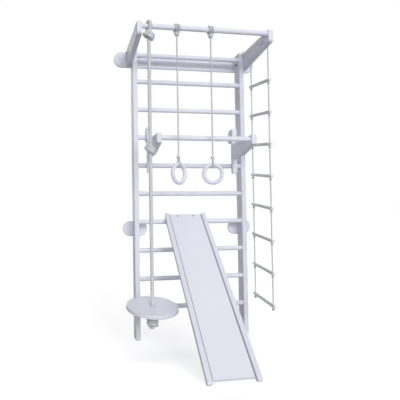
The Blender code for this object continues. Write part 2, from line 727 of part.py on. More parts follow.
def build_climbing_rope():
    """The climbing rope: an eye over the top bar, three knots, and the disc seat on the last."""
    seat_radius = BAR_RADIUS + ROPE_DIAMETER / 2 + ROPE_GAP
    eye_points = hitch_path(seat_radius, 1, 0, TOP_KNOT_DROP, EYE_LEG_SPACING,
                            ROPE_DIAMETER * STRAIGHT_LEG_SHARE)
    eye = tube("climbing_rope_eye", [(ROPE_X + x, BAR_Y + y, BAR_Z + z) for x, y, z in eye_points],
               ROPE_DIAMETER, 3, cord_finish("climbing_rope_eye"))

    disc_z = BAR_Z - DISC_DROP
    normal = Vector((tan(DISC_TILT_RIGHT), -tan(DISC_TILT_FORWARD), 1)).normalized()
    turn = normal.to_track_quat("Z", "Y").to_matrix().to_4x4()
    place = Matrix.Translation((ROPE_X, BAR_Y, disc_z)) @ turn
    half, hole, edge = DISC_THICKNESS / 2, DISC_HOLE_DIAMETER / 2, DISC_EDGE_RADIUS
    rim_radius = DISC_DIAMETER / 2 - edge
    rim = []
    for side, start in ((-1, -pi / 2), (1, 0)):
        for turned in (0, pi / 6, pi / 3, pi / 2):
            angle = start + turned
            rim.append((rim_radius + edge * cos(angle), side * (half - edge) + edge * sin(angle)))
    shape = bmesh.new()
    add_turned_loop(shape, [(hole, -half)] + rim + [(hole, half)], DISC_SIDES, place)
    disc = mesh_piece("disc_seat", shape, paint("disc_seat"))

    knot_radius = END_KNOT_DIAMETER / 2
    middles = []
    for angle in np.linspace(0, 2 * pi, DISC_SIDES):
        point = place @ Vector((hole * cos(angle), hole * sin(angle), -half))
        away = hypot(point.x - ROPE_X, point.y - BAR_Y) / knot_radius
        middles.append(point.z - END_KNOT_HEIGHT / 2 * sqrt(1 - away ** 2))
    knot_z = min(middles) - SEAT_GAP

    along, widths = [], []

    def knot(centre, height, diameter, cut_above=None, cut_below=None):
        """Adds one knot as an oval swelling, which ends at the rope or flat at the shares given."""
        neck = asin(ROPE_DIAMETER / diameter)
        first = neck if cut_above is None else acos(cut_above)
        last = pi - (neck if cut_below is None else acos(cut_below))
        for step in range(KNOT_STEPS + 1):
            angle = first + (last - first) * step / KNOT_STEPS
            along.append((ROPE_X, BAR_Y, centre + height / 2 * cos(angle)))
            widths.append(diameter / ROPE_DIAMETER * sin(angle))

    def run(to):
        """Adds a straight stretch of rope down to a height."""
        start = along[-1][2]
        steps = max(1, round((start - to) / ROPE_POINT_STEP))
        for step in range(1, steps):
            along.append((ROPE_X, BAR_Y, start + (to - start) * step / steps))
            widths.append(1.0)

    top_z = BAR_Z - TOP_KNOT_DROP - SEAT_GAP - TOP_KNOT_HEIGHT / 2 * TOP_KNOT_CUT_SHARE
    knot(top_z, TOP_KNOT_HEIGHT, TOP_KNOT_DIAMETER, cut_above=TOP_KNOT_CUT_SHARE)
    middle_z = BAR_Z - MIDDLE_KNOT_DROP
    run(middle_z + knot_neck(MIDDLE_KNOT_HEIGHT, MIDDLE_KNOT_DIAMETER))
    knot(middle_z, MIDDLE_KNOT_HEIGHT, MIDDLE_KNOT_DIAMETER)
    run(knot_z + knot_neck(END_KNOT_HEIGHT, END_KNOT_DIAMETER))
    knot(knot_z, END_KNOT_HEIGHT, END_KNOT_DIAMETER, cut_below=END_KNOT_CUT_SHARE)
    rope = tube("climbing_rope", along, ROPE_DIAMETER, 4, cord_finish("climbing_rope"), widths)
    return [eye, rope], disc


def build_rings():
    """Two wooden rings, each on a rope wound three times over the top bar."""
    made = {}
    for name, x, yaw in (("left", RING_LEFT_X, RING_LEFT_TURN), ("right", RING_RIGHT_X, RING_RIGHT_TURN)):
        seat_radius = BAR_RADIUS + RING_ROPE_DIAMETER / 2 + ROPE_GAP
        wrap_points = hitch_path(seat_radius, RING_WRAP_PASSES, RING_WRAP_PITCH, RING_WRAP_DROP,
                                 RING_LEG_SPACING, RING_ROPE_DIAMETER, RING_WRAP_DRAW_IN)
        print(f"ring rope {name}: least gap between turns "
              f"{1000 * least_gap(wrap_points, RING_ROPE_DIAMETER, LOOP_POINTS // 3):.2f} mm")
        wrap = tube("ring_wrap_" + name, [(x + a, BAR_Y + b, BAR_Z + c) for a, b, c in wrap_points],
                    RING_ROPE_DIAMETER, 1, cord_finish("ring_wrap_" + name))

        centre_z = BAR_Z - RING_DROP
        tube_z = centre_z + RING_DIAMETER / 2 - RING_TUBE / 2
        knot_z = tube_z + RING_KNOT_RISE
        loop_radius = RING_TUBE / 2 + RING_ROPE_DIAMETER / 2 + ROPE_GAP
        loop_points = hitch_path(loop_radius, 1, 0, RING_KNOT_RISE, RING_LEG_SPACING,
                                 RING_ROPE_DIAMETER * STRAIGHT_LEG_SHARE)
        turn = Matrix.Rotation(yaw + pi, 3, "Z")
        loop_world = [Vector((x, BAR_Y, tube_z)) + turn @ Vector((a, b, -c)) for a, b, c in loop_points]
        loop = tube("ring_loop_" + name, loop_world, RING_ROPE_DIAMETER, 2, cord_finish("ring_loop_" + name))

        top = BAR_Z - RING_WRAP_DROP - SEAT_GAP
        along, widths = [], []
        for step, share in enumerate(RING_HITCH_SHARES):
            along.append((x, BAR_Y, top - RING_HITCH_HEIGHT * step / (len(RING_HITCH_SHARES) - 1)))
            widths.append(max(1.0, share * RING_HITCH_DIAMETER / RING_ROPE_DIAMETER))
        knot_top = knot_z + SEAT_GAP + RING_KNOT_HEIGHT
        start = along[-1][2]
        steps = round((start - knot_top) / RING_POINT_STEP)
        for step in range(1, steps):
            along.append((x, BAR_Y, start + (knot_top - start) * step / steps))
            widths.append(1.0)
        for step, share in enumerate(RING_KNOT_SHARES):
            along.append((x, BAR_Y, knot_top - RING_KNOT_HEIGHT * step / (len(RING_KNOT_SHARES) - 1)))
            widths.append(max(1.0, share * RING_KNOT_DIAMETER / RING_ROPE_DIAMETER))
        rope = tube("ring_rope_" + name, along, RING_ROPE_DIAMETER, 2,
                    cord_finish("ring_rope_" + name), widths)

        shape = bmesh.new()
        mean = (RING_DIAMETER - RING_TUBE) / 2
        profile = [(mean + RING_TUBE / 2 * cos(2 * pi * k / RING_TUBE_SIDES),
                    RING_TUBE / 2 * sin(2 * pi * k / RING_TUBE_SIDES)) for k in range(RING_TUBE_SIDES)]
        upright = Matrix.Rotation(yaw, 4, "Z") @ Matrix.Rotation(pi / 2, 4, "X")
        add_turned_loop(shape, profile, RING_SIDES, Matrix.Translation((x, BAR_Y, centre_z)) @ upright)
        ring = mesh_piece("ring_" + name, shape, paint("ring_" + name))
        made[name] = [wrap, rope, loop, ring]
    return made


def hook_notch(centre_y, centre_z):
    """Points of a notch that drops over a rung: its arc's chords touch the seat's circle."""
    corner = RUNG_SEAT_RADIUS / cos(pi / (2 * ARC_STEPS))
    angles = [pi * (k + 0.5) / ARC_STEPS for k in range(ARC_STEPS)]
    arc = [(centre_y + corner * cos(angle), centre_z + corner * sin(angle)) for angle in angles]
    return [(centre_y + RUNG_SEAT_RADIUS, centre_z)] + arc + [(centre_y - RUNG_SEAT_RADIUS, centre_z)]


def pull_up_board_sides():
    """Left and right faces of the two side boards of the pull-up bar."""
    return [("left", PULL_UP_LEFT_X, PULL_UP_LEFT_X + PULL_UP_BOARD),
            ("right", PULL_UP_RIGHT_X, PULL_UP_RIGHT_X + PULL_UP_BOARD)]


def build_pull_up():
    """The hook-on pull-up bar: a hook board and a gusset on each side, with the bar between."""
    rung_z = RUNG_HEIGHTS[PULL_UP_RUNG - 1]
    lower_z = RUNG_HEIGHTS[PULL_UP_RUNG - 2]
    bar_z = rung_z - PULL_UP_BAR_DROP
    back = RUNG_SETBACK - RUNG_SEAT_RADIUS
    front = back - HOOK_FRONT
    tail = lower_z - HOOK_TAIL
    rear = RUNG_SETBACK + RUNG_SEAT_RADIUS + HOOK_TONGUE
    crest = rung_z + HOOK_RISE
    tongue = rung_z - HOOK_TONGUE_DROP
    hook = [(front, tail), (front, crest), (rear - HOOK_CHAMFER, crest), (rear, crest - HOOK_CHAMFER),
            (rear, tongue), (rear - HOOK_TONGUE, tongue)] + hook_notch(RUNG_SETBACK, rung_z) + [(back, tail)]
    top = bar_z + PULL_UP_TOP_MARGIN
    seat = front - SEAT_GAP
    nose = PULL_UP_Y - PULL_UP_FRONT_MARGIN
    gusset = rounded([(seat, top - PULL_UP_BACK_HEIGHT, 0), (seat, top, 0), (nose, top, PULL_UP_CORNER),
                      (nose, top - PULL_UP_FRONT_HEIGHT, PULL_UP_CORNER),
                      (seat - PULL_UP_FLAT, top - PULL_UP_BACK_HEIGHT, 0)])
    hooks, gussets = [], []
    boards = pull_up_board_sides()
    for name, low, high in boards:
        shape = bmesh.new()
        add_prism(shape, hook, low, high, SIDE_PLANE)
        hooks.append(mesh_piece("pull_up_hook_" + name, shape, paint("pull_up_hook_" + name)))
        shape = bmesh.new()
        add_prism(shape, gusset, low, high, SIDE_PLANE)
        plate = mesh_piece("pull_up_gusset_" + name, shape, paint("pull_up_gusset_" + name))
        plate = soften(plate, ARM_EDGE, 1)
        socket = bmesh.new()
        side, inner = (-1, high) if name == "left" else (1, low)
        socket_end = inner + side * (BAR_SOCKET_DEPTH + SEAT_GAP)
        add_bar(socket, (inner - side * CUT_OVERRUN, PULL_UP_Y, bar_z), (socket_end, PULL_UP_Y, bar_z),
                BAR_RADIUS + SEAT_GAP, RUNG_SIDES)
        gussets.append(cut(plate, socket))
    left = boards[0][2] - BAR_SOCKET_DEPTH
    right = boards[1][1] + BAR_SOCKET_DEPTH
    shape = bmesh.new()
    add_bar(shape, (left, PULL_UP_Y, bar_z), (right, PULL_UP_Y, bar_z), BAR_RADIUS, RUNG_SIDES)
    bar = mesh_piece("pull_up_bar", shape, paint("pull_up_bar"))
    return [bar] + hooks + gussets


def build_slide():
    """The slide: a deck let into two rails, hooked over a rung and standing on the floor."""
    rung_z = RUNG_HEIGHTS[SLIDE_RUNG - 1]
    top_y, top_z = slide_top()
    down = Vector((0, -cos(SLIDE_ANGLE), -sin(SLIDE_ANGLE)))
    out = Vector((0, -sin(SLIDE_ANGLE), cos(SLIDE_ANGLE)))
    across = Vector((1, 0, 0))
    # The board's own axes: across, down the slope, and out of the deck
    place = Matrix.Translation((0, top_y, top_z)) @ Matrix((across, down, out)).transposed().to_4x4()
    rail_under = RAIL_PROUD - RAIL_HEIGHT
    length = rail_length()
    past = RAIL_HEIGHT
    left, right = SLIDE_LEFT_X, SLIDE_LEFT_X + SLIDE_WIDTH

    def plumb_and_floor():
        """Cutters that make the upright cut at the top end and the flat on the floor."""
        shape = bmesh.new()
        add_box(shape, (left - CUT_OVERRUN, top_y, top_z - length),
                (right + CUT_OVERRUN, top_y + length, top_z + length))
        add_box(shape, (left - CUT_OVERRUN, -length * 2, -length), (right + CUT_OVERRUN, -CUT_OVERRUN, 0))
        return shape

    def square_end():
        """A cutter that ends the rails' proud part square above the deck's top edge."""
        shape = bmesh.new()
        beyond = -past - CUT_OVERRUN
        add_prism(shape, [(left - CUT_OVERRUN, beyond), (right + CUT_OVERRUN, beyond),
                          (right + CUT_OVERRUN, 0), (left - CUT_OVERRUN, 0)],
                  0, RAIL_PROUD + CUT_OVERRUN, place)
        return shape

    rails = []
    for name, low in (("left", left), ("right", right - RAIL_WIDTH)):
        middle, radius = low + RAIL_WIDTH / 2, RAIL_WIDTH / 2
        outline = [(low, -past), (low + RAIL_WIDTH, -past)]
        angles = [pi * k / ARC_STEPS for k in range(ARC_STEPS + 1)]
        outline += [(middle + radius * cos(a), length - radius + radius * sin(a)) for a in angles]
        shape = bmesh.new()
        add_prism(shape, outline, rail_under, RAIL_PROUD, place)
        rail = soften(mesh_piece("slide_rail_" + name, shape, paint("slide_rail_" + name)), RAIL_EDGE, 2)
        groove = bmesh.new()
        inner = low + RAIL_WIDTH if name == "left" else low
        side = -1 if name == "left" else 1
        start, end = sorted((inner - side * CUT_OVERRUN, inner + side * (DECK_GROOVE + SEAT_GAP)))
        upper, lower = -past - CUT_OVERRUN, length - DECK_SHORT + SEAT_GAP
        add_prism(groove, [(start, upper), (end, upper), (end, lower), (start, lower)],
                  -DECK_THICKNESS - SEAT_GAP, SEAT_GAP, place)
        rails.append(cut(cut(cut(rail, plumb_and_floor()), square_end()), groove))

    shape = bmesh.new()
    deck_low = left + RAIL_WIDTH - DECK_GROOVE
    deck_high = right - RAIL_WIDTH + DECK_GROOVE
    end = length - DECK_SHORT
    add_prism(shape, [(deck_low, -past), (deck_high, -past), (deck_high, end), (deck_low, end)],
              -DECK_THICKNESS, 0, place)
    deck = mesh_piece("slide_deck", shape, paint("slide_deck"))
    deck = cut(deck, plumb_and_floor())

    def on_board(along, above):
        """A place on the slide's side view, as (y, z)."""
        spot = place @ Vector((0, along, above))
        return (spot.y, spot.z)

    rung_front = RUNG_SETBACK - RUNG_SEAT_RADIUS
    rear = RUNG_SETBACK + RUNG_SEAT_RADIUS + HOOK_TONGUE
    seat = -DECK_THICKNESS - SEAT_GAP
    at_top = (top_y - on_board(0, seat)[0]) / down.y
    under_top = on_board(at_top, seat)
    behind = top_y + SEAT_GAP
    crest = top_z - SLIDE_HOOK_BELOW
    chamfer = HOOK_CHAMFER * SLIDE_CHAMFER_SHARE
    hook = [under_top, (behind, under_top[1]), (behind, crest), (rear - chamfer, crest),
            (rear, crest - chamfer), (rear, rung_z - HOOK_TONGUE_DROP),
            (rear - HOOK_TONGUE, rung_z - HOOK_TONGUE_DROP)]
    hook += hook_notch(RUNG_SETBACK, rung_z)
    hook += [(rung_front, rung_z - SLIDE_HOOK_TOE), on_board(SLIDE_HOOK_LENGTH, seat - SLIDE_HOOK_TOE),
             on_board(SLIDE_HOOK_LENGTH, seat)]
    hooks = []
    for name, side in sides():
        centre = SLIDE_MID_X + side * SLIDE_HOOK_SPACING / 2
        shape = bmesh.new()
        add_prism(shape, hook, centre - SLIDE_HOOK_BOARD / 2, centre + SLIDE_HOOK_BOARD / 2, SIDE_PLANE)
        hooks.append(mesh_piece("slide_hook_" + name, shape, paint("slide_hook_" + name)))
    return [deck] + rails + hooks


def main():
    """Builds the frame and hangs each moving assembly from an empty on its joint's axis."""
    clear_scene()
    anchors, ropes, ladder_rungs = build_ladder()
    fixed = build_uprights() + build_rungs() + build_wall_boards() + build_arms()
    fixed += [build_top_bar()] + build_arm_bolts() + anchors
    carry(fixed, empty("frame", (0, 0, 0)))

    _, y, z = ladder_anchor_places()[0]
    carry(ropes + ladder_rungs, empty("ladder_pivot", (ARM_OUTER_X + LADDER_STANDOFF, y, z)))
    rope_pieces, disc = build_climbing_rope()
    carry(rope_pieces + [disc], empty("climbing_rope_pivot", (ROPE_X, BAR_Y, BAR_Z)))
    for name, pieces in build_rings().items():
        x = RING_LEFT_X if name == "left" else RING_RIGHT_X
        carry(pieces, empty(f"ring_{name}_pivot", (x, BAR_Y, BAR_Z)))
    rung_z = RUNG_HEIGHTS[PULL_UP_RUNG - 1]
    carry(build_pull_up(), empty("pull_up_pivot", (PULL_UP_LEFT_X, RUNG_SETBACK, rung_z)))
    slide_z = RUNG_HEIGHTS[SLIDE_RUNG - 1]
    carry(build_slide(), empty("slide_pivot", (SLIDE_MID_X, RUNG_SETBACK, slide_z)))

    # The origin is on the floor, at the middle of what the frame and the slide cover
    origin = empty("origin", (0, 0, 0))
    for thing in bpy.context.scene.objects:
        if thing.parent is None and thing is not origin:
            thing.parent = origin
    origin.location.y = -(slide_foot_y() + BOARD_BACK_Y) / 2


main()
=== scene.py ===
"""Looks of an indoor climbing frame, worked around its packed construction.

Wooden pieces are painted a cool white, ropes are pale and laid from three strands, and the few
fasteners are dark steel. Each sub-assembly is a class: it holds its own sizes, builds its meshes
as surfaces of two parameters, and hands each piece over to the body that carries it. All lengths
are metres in the frame of the construction: +Z is up, +X runs along the rungs and the wall is
behind, at +Y.
"""
import json
import logging
import math
from dataclasses import dataclass
from enum import Enum

import bmesh
import bpy
import numpy as np
from mathutils import Matrix, Vector


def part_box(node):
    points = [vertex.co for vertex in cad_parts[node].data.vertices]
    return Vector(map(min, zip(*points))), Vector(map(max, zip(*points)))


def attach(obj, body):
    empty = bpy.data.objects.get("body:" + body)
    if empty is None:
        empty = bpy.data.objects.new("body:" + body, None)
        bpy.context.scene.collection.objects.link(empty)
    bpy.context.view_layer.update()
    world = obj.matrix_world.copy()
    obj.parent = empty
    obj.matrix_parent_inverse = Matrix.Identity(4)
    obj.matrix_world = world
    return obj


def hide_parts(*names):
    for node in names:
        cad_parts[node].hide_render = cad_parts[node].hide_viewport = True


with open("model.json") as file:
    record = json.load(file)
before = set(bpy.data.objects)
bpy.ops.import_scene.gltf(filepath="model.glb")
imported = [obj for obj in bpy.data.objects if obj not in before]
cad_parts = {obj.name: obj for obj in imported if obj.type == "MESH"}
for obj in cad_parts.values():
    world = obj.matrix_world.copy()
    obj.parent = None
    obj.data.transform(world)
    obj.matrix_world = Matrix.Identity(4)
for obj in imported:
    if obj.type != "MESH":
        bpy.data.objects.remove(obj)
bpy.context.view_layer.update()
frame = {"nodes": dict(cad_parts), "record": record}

LOG = logging.getLogger("climbing_frame")

Colour = tuple[float, float, float]
Point = tuple[float, float, float]
Pair = tuple[float, float]
Socket = bpy.types.NodeSocket

TAU = 2 * math.pi
QUARTER = math.pi / 2
SIXTH = math.pi / 3
SIDES = {"left": -1.0, "right": 1.0}
SLIDE_SLOPE = math.radians(40.6)
DOWN_SLIDE = np.array([0.0, -math.cos(SLIDE_SLOPE), -math.sin(SLIDE_SLOPE)])
OFF_SLIDE = np.array([0.0, -math.sin(SLIDE_SLOPE), math.cos(SLIDE_SLOPE)])
ALONG_X = np.array([1.0, 0.0, 0.0])
TO_WALL = (0.0, 1.0, 0.0)
BOARD_ANGLE = math.radians(50.0)
CUT_ANGLE = math.radians(38.0)
TURNED_ANGLE = math.radians(35.0)
STEEL_ANGLE = math.radians(40.0)
NUT_ANGLE = math.radians(30.0)
FLAT_ANGLE = math.radians(0.5)
SEAT_GAP = 0.0003
ROPE_GAP = 0.0004
WELD = 0.00001
DECK_THICKNESS = 0.016
RING_TWISTS = {"left": math.radians(36.0), "right": math.radians(-8.0)}
WHITE = (1.0, 1.0, 1.0)
EASE_SEGMENTS = 3


class Slot(Enum):
    """The record's material slots."""

    WOOD = "painted_wood"
    ROPE = "rope"
    STEEL = "steel"


class Axis(Enum):
    """The direction that a board's or bar's grain runs in."""

    X = 0
    Y = 1
    Z = 2


# Finishes

class Nodes:
    """A node tree while it is being put together."""

    def __init__(self, tree: bpy.types.NodeTree) -> None:
        """Takes the tree that nodes are added to."""
        self.tree = tree

    def feed(self, target: Socket, source: object) -> None:
        """Feeds an input.

        Args:
            target: the input.
            source: an output to link, a colour as a tuple of three numbers, or a plain value.
        """
        if isinstance(source, Socket):
            self.tree.links.new(source, target)
        else:
            target.default_value = (*source, 1.0) if isinstance(source, tuple) else source

    def node(self, kind: str, values: dict[str | int, object] | None = None,
             **settings: object) -> bpy.types.Node:
        """Adds a node.

        Args:
            kind: the node's type, without its ShaderNode prefix.
            values: what its inputs are fed, by name or number.
            settings: its own settings.

        Returns:
            The new node.
        """
        made = self.tree.nodes.new("ShaderNode" + kind)
        for key, value in settings.items():
            setattr(made, key, value)
        for key, source in (values or {}).items():
            self.feed(made.inputs[key], source)
        return made

    def noise(self, place: Socket, scale: float, detail: float) -> Socket:
        """Adds a noise pattern and returns its grey output."""
        return self.node("TexNoise", {"Vector": place, "Scale": scale, "Detail": detail}).outputs["Fac"]

    def ranged(self, source: Socket, span: Pair, result: Pair) -> Socket:
        """Maps a value's span to another one, held at its ends."""
        values = {0: source, 1: span[0], 2: span[1], 3: result[0], 4: result[1]}
        return self.node("MapRange", values).outputs[0]

    def mixed(self, share: Socket, first: Colour | Socket, second: Colour) -> Socket:
        """Mixes two colours by a share; a Mix node's colours are its inputs 6 and 7."""
        return self.node("Mix", {0: share, 6: first, 7: second}, data_type="RGBA").outputs[2]

    def calculated(self, operation: str, first: Socket, second: Socket | float = 0.0) -> Socket:
        """Joins two values by an operation and returns the result."""
        return self.node("Math", {0: first, 1: second}, operation=operation).outputs[0]

    def bump(self, height: Socket, strength: float, distance: float, under: Socket | None = None) -> Socket:
        """Adds a relief and returns the normal.

        Args:
            height: the pattern that stands out.
            strength: how strongly it does.
            distance: how high it stands.
            under: the normal of a relief that it lies on, or None.

        Returns:
            The new normal.
        """
        values = {"Strength": strength, "Distance": distance, "Height": height}
        if under is not None:
            values["Normal"] = under
        return self.node("Bump", values).outputs["Normal"]

    def background_ray(self) -> Socket:
        """Tells rays that see the background, which are the camera's and those by gloss or glass.

        Returns:
            One for such a ray, and nothing for the others.
        """
        ray = self.node("LightPath").outputs
        indirect = self.calculated("MAXIMUM", ray["Is Glossy Ray"], ray["Is Transmission Ray"])
        return self.calculated("MAXIMUM", ray["Is Camera Ray"], indirect)


class Shader(Nodes):
    """The nodes of a material, about its principled shader."""

    def __init__(self, name: str) -> None:
        """Starts a material.

        Args:
            name: the material's name.
        """
        self.material = bpy.data.materials.new(name)
        self.material.use_nodes = True
        super().__init__(self.material.node_tree)

    def finished(self, values: dict[str, object]) -> bpy.types.Material:
        """Feeds the principled shader.

        Args:
            values: what its inputs are fed, by name.

        Returns:
            The finished material.
        """
        surface = self.tree.nodes["Principled BSDF"]
        for name, source in values.items():
            self.feed(surface.inputs[name], source)
        return self.material


@dataclass(frozen=True)
class Coat:
    """A finished material, and the record's slot that it belongs to."""

    material: bpy.types.Material
    slot: Slot


@dataclass(frozen=True)
class PaintFinish:
    """Satin furniture paint on planed wood, through which a little of the grain still shows.

    Attributes named span give the part of a noise's values that a change runs over, and those
    named relief give a bump's strength and height.
    """

    name: str
    grain: Axis
    colour: Colour = (0.790, 0.795, 0.885)
    shade: Colour = (0.752, 0.759, 0.858)
    worn: Colour = (0.640, 0.615, 0.600)
    roughness: Pair = (0.46, 0.60)
    roughness_span: Pair = (0.3, 0.7)
    gloss: float = 0.22
    grain_across: float = 190.0
    grain_along: float = 5.0
    grain_detail: float = 4.0
    grain_span: Pair = (0.55, 0.80)
    grain_share: float = 0.22
    grain_relief: Pair = (0.22, 0.0004)
    tone_scale: float = 3.5
    tone_span: Pair = (0.35, 0.70)
    spray_scale: float = 520.0
    spray_relief: Pair = (0.10, 0.0002)
    edge_radius: float = 0.0025
    edge_samples: int = 4
    edge_span: Pair = (0.995, 0.90)
    wear_scale: float = 38.0
    wear_span: Pair = (0.50, 0.68)
    wear_share: float = 0.45
    detail: float = 3.0

    def coat(self) -> Coat:
        """Builds the paint.

        The grain is a noise drawn out along one axis. Slow noise varies tone and gloss, fine noise
        gives the sprayed surface, and thin paint shows where a bevelled normal leaves the true one.

        Returns:
            The finished coat.
        """
        shader = Shader(self.name)
        place = shader.node("TexCoord").outputs["Object"]
        scale = [self.grain_across] * 3
        scale[self.grain.value] = self.grain_along
        drawn = shader.node("Mapping", {"Vector": place, "Scale": scale}).outputs["Vector"]
        grain = shader.noise(drawn, 1.0, self.grain_detail)
        tone = shader.noise(place, self.tone_scale, self.detail)
        spray = shader.noise(place, self.spray_scale, 1.0)

        body = shader.mixed(shader.ranged(tone, self.tone_span, (0.0, 1.0)), self.colour, self.shade)
        body = shader.mixed(shader.ranged(grain, self.grain_span, (0.0, self.grain_share)), body, self.shade)

        rounded = shader.node("Bevel", {"Radius": self.edge_radius}, samples=self.edge_samples)
        flat = shader.node("NewGeometry").outputs["Normal"]
        lined = shader.node("VectorMath", {0: rounded.outputs["Normal"], 1: flat}, operation="DOT_PRODUCT")
        edge = shader.ranged(lined.outputs["Value"], self.edge_span, (0.0, 1.0))
        patch = shader.noise(place, self.wear_scale, self.detail)
        patch = shader.ranged(patch, self.wear_span, (0.0, self.wear_share))

        relief = shader.bump(grain, *self.grain_relief)
        return Coat(shader.finished({
            "Base Color": shader.mixed(shader.calculated("MULTIPLY", edge, patch), body, self.worn),
            "Specular IOR Level": self.gloss,
            "Roughness": shader.ranged(tone, self.roughness_span, self.roughness),
            "Normal": shader.bump(spray, *self.spray_relief, relief)}), Slot.WOOD)


@dataclass(frozen=True)
class RopeFinish:
    """Pale twisted fibre. It reads the rope's UV map and how high a point stands on its strand.

    Attributes named span and relief mean what they mean in PaintFinish. The grooves between strands
    and the hollows between yarns are darkened as painted shade.
    """

    name: str
    crest_colour: Colour = (0.660, 0.672, 0.715)
    # Painted shade: the colour that the grooves between strands and the hollows between yarns darken towards.
    groove_shade_colour: Colour = (0.505, 0.517, 0.555)
    stain_colour: Colour = (0.620, 0.630, 0.668)
    roughness: float = 0.86
    sheen: float = 0.20
    yarns: float = 7.0
    yarn_lean: float = 3.0
    yarn_shade_span: Pair = (0.0, 0.35)
    yarn_shade_share: float = 0.20
    yarn_relief: Pair = (0.55, 0.0006)
    fibre_scale: float = 1400.0
    fibre_relief: Pair = (0.45, 0.0004)
    stain_scale: float = 14.0
    stain_span: Pair = (0.45, 0.75)
    stain_share: float = 0.55
    groove_shade_span: Pair = (0.0, 0.55)
    groove_shade_share: float = 0.85
    detail: float = 3.0

    def coat(self) -> Coat:
        """Builds the fibre: yarn ridges from a sine across each strand, and loose fibre over them.

        Returns:
            The finished coat.
        """
        shader = Shader(self.name)
        place = shader.node("TexCoord").outputs
        split = shader.node("SeparateXYZ", {0: place["UV"]}).outputs
        across = shader.calculated("MULTIPLY", split["X"], self.yarns * TAU)
        along = shader.calculated("MULTIPLY", split["Y"], self.yarn_lean * TAU)
        wave = shader.calculated("SINE", shader.calculated("ADD", across, along))
        yarn = shader.ranged(wave, (-1.0, 1.0), (0.0, 1.0))
        fibre = shader.noise(place["Object"], self.fibre_scale, self.detail)
        stain = shader.noise(place["Object"], self.stain_scale, self.detail)
        crest = shader.node("Attribute", attribute_name="crest").outputs["Fac"]

        share = shader.ranged(stain, self.stain_span, (0.0, self.stain_share))
        body = shader.mixed(share, self.crest_colour, self.stain_colour)
        # Painted shade: the lower a point lies between two strands, the more its colour darkens.
        depth = shader.ranged(crest, self.groove_shade_span, (1.0, 0.0))
        body = shader.mixed(shader.calculated("MULTIPLY", depth, self.groove_shade_share), body, self.groove_shade_colour)
        # Painted shade: the hollows between yarns darken towards the same colour.
        between = shader.ranged(yarn, self.yarn_shade_span, (self.yarn_shade_share, 0.0))
        relief = shader.bump(yarn, *self.yarn_relief)
        return Coat(shader.finished({
            "Base Color": shader.mixed(between, body, self.groove_shade_colour),
            "Roughness": self.roughness,
            "Sheen Weight": self.sheen,
            "Normal": shader.bump(fibre, *self.fibre_relief, relief)}), Slot.ROPE)


@dataclass(frozen=True)
class SteelFinish:
    """Dark zinc-plated steel, a little uneven where tools have gripped it."""

    name: str
    colour: Colour = (0.150, 0.153, 0.165)
    bright: Colour = (0.320, 0.325, 0.345)
    roughness: Pair = (0.30, 0.52)
    roughness_span: Pair = (0.3, 0.7)
    patch_scale: float = 260.0
    patch_detail: float = 3.0
    patch_span: Pair = (0.45, 0.75)
    patch_share: float = 0.7
    patch_relief: Pair = (0.12, 0.0002)

    def coat(self) -> Coat:
        """Builds the steel, whose colour, roughness and relief follow one noise.

        Returns:
            The finished coat.
        """
        shader = Shader(self.name)
        patch = shader.noise(shader.node("TexCoord").outputs["Object"], self.patch_scale, self.patch_detail)
        bright = shader.ranged(patch, self.patch_span, (0.0, self.patch_share))
        return Coat(shader.finished({
            "Base Color": shader.mixed(bright, self.colour, self.bright),
            "Metallic": 1.0,
            "Roughness": shader.ranged(patch, self.roughness_span, self.roughness),
            "Normal": shader.bump(patch, *self.patch_relief)}), Slot.STEEL)


class Finishes:
    """The coats, each made once and shared by the pieces that wear it."""

    def __init__(self) -> None:
        """Makes the paints, the ropes and the steels."""
        self.paint = {axis: PaintFinish(f"white_paint_along_{axis.name.lower()}", axis).coat()
                      for axis in Axis}
        # Painted light: the deck's white paint is a little lighter than the boards', standing in for more
        # light on it; its lower roughness is its own.
        self.deck = PaintFinish("deck_paint_with_painted_light", Axis.Y, colour=(0.815, 0.832, 0.915),
                                shade=(0.802, 0.820, 0.905), roughness=(0.36, 0.46)).coat()
        # Painted shade: dark grey for strips in the deck's grooves, standing in for the shadow line along
        # each rail.
        self.joint = PaintFinish("grey_painted_shadow_line", Axis.Y, colour=(0.330, 0.335, 0.370),
                                 shade=(0.270, 0.275, 0.310)).coat()
        self.rung = PaintFinish("grey_white_paint", Axis.Y, colour=(0.775, 0.790, 0.795),
                                shade=(0.735, 0.750, 0.755)).coat()
        self.rope = RopeFinish("pale_rope").coat()
        # Painted light: a lighter copy of the pale rope for the ladder's anchors, whose knots lie in shade.
        self.anchor_rope_lit = RopeFinish("anchor_rope_painted_light", crest_colour=(0.870, 0.875, 0.900),
                                   groove_shade_colour=(0.720, 0.727, 0.755),
                                   stain_colour=(0.820, 0.826, 0.850)).coat()
        self.steel = SteelFinish("grey_zinc").coat()
        self.black_steel = SteelFinish("black_zinc", (0.030, 0.030, 0.034), (0.070, 0.071, 0.078)).coat()


# Surfaces

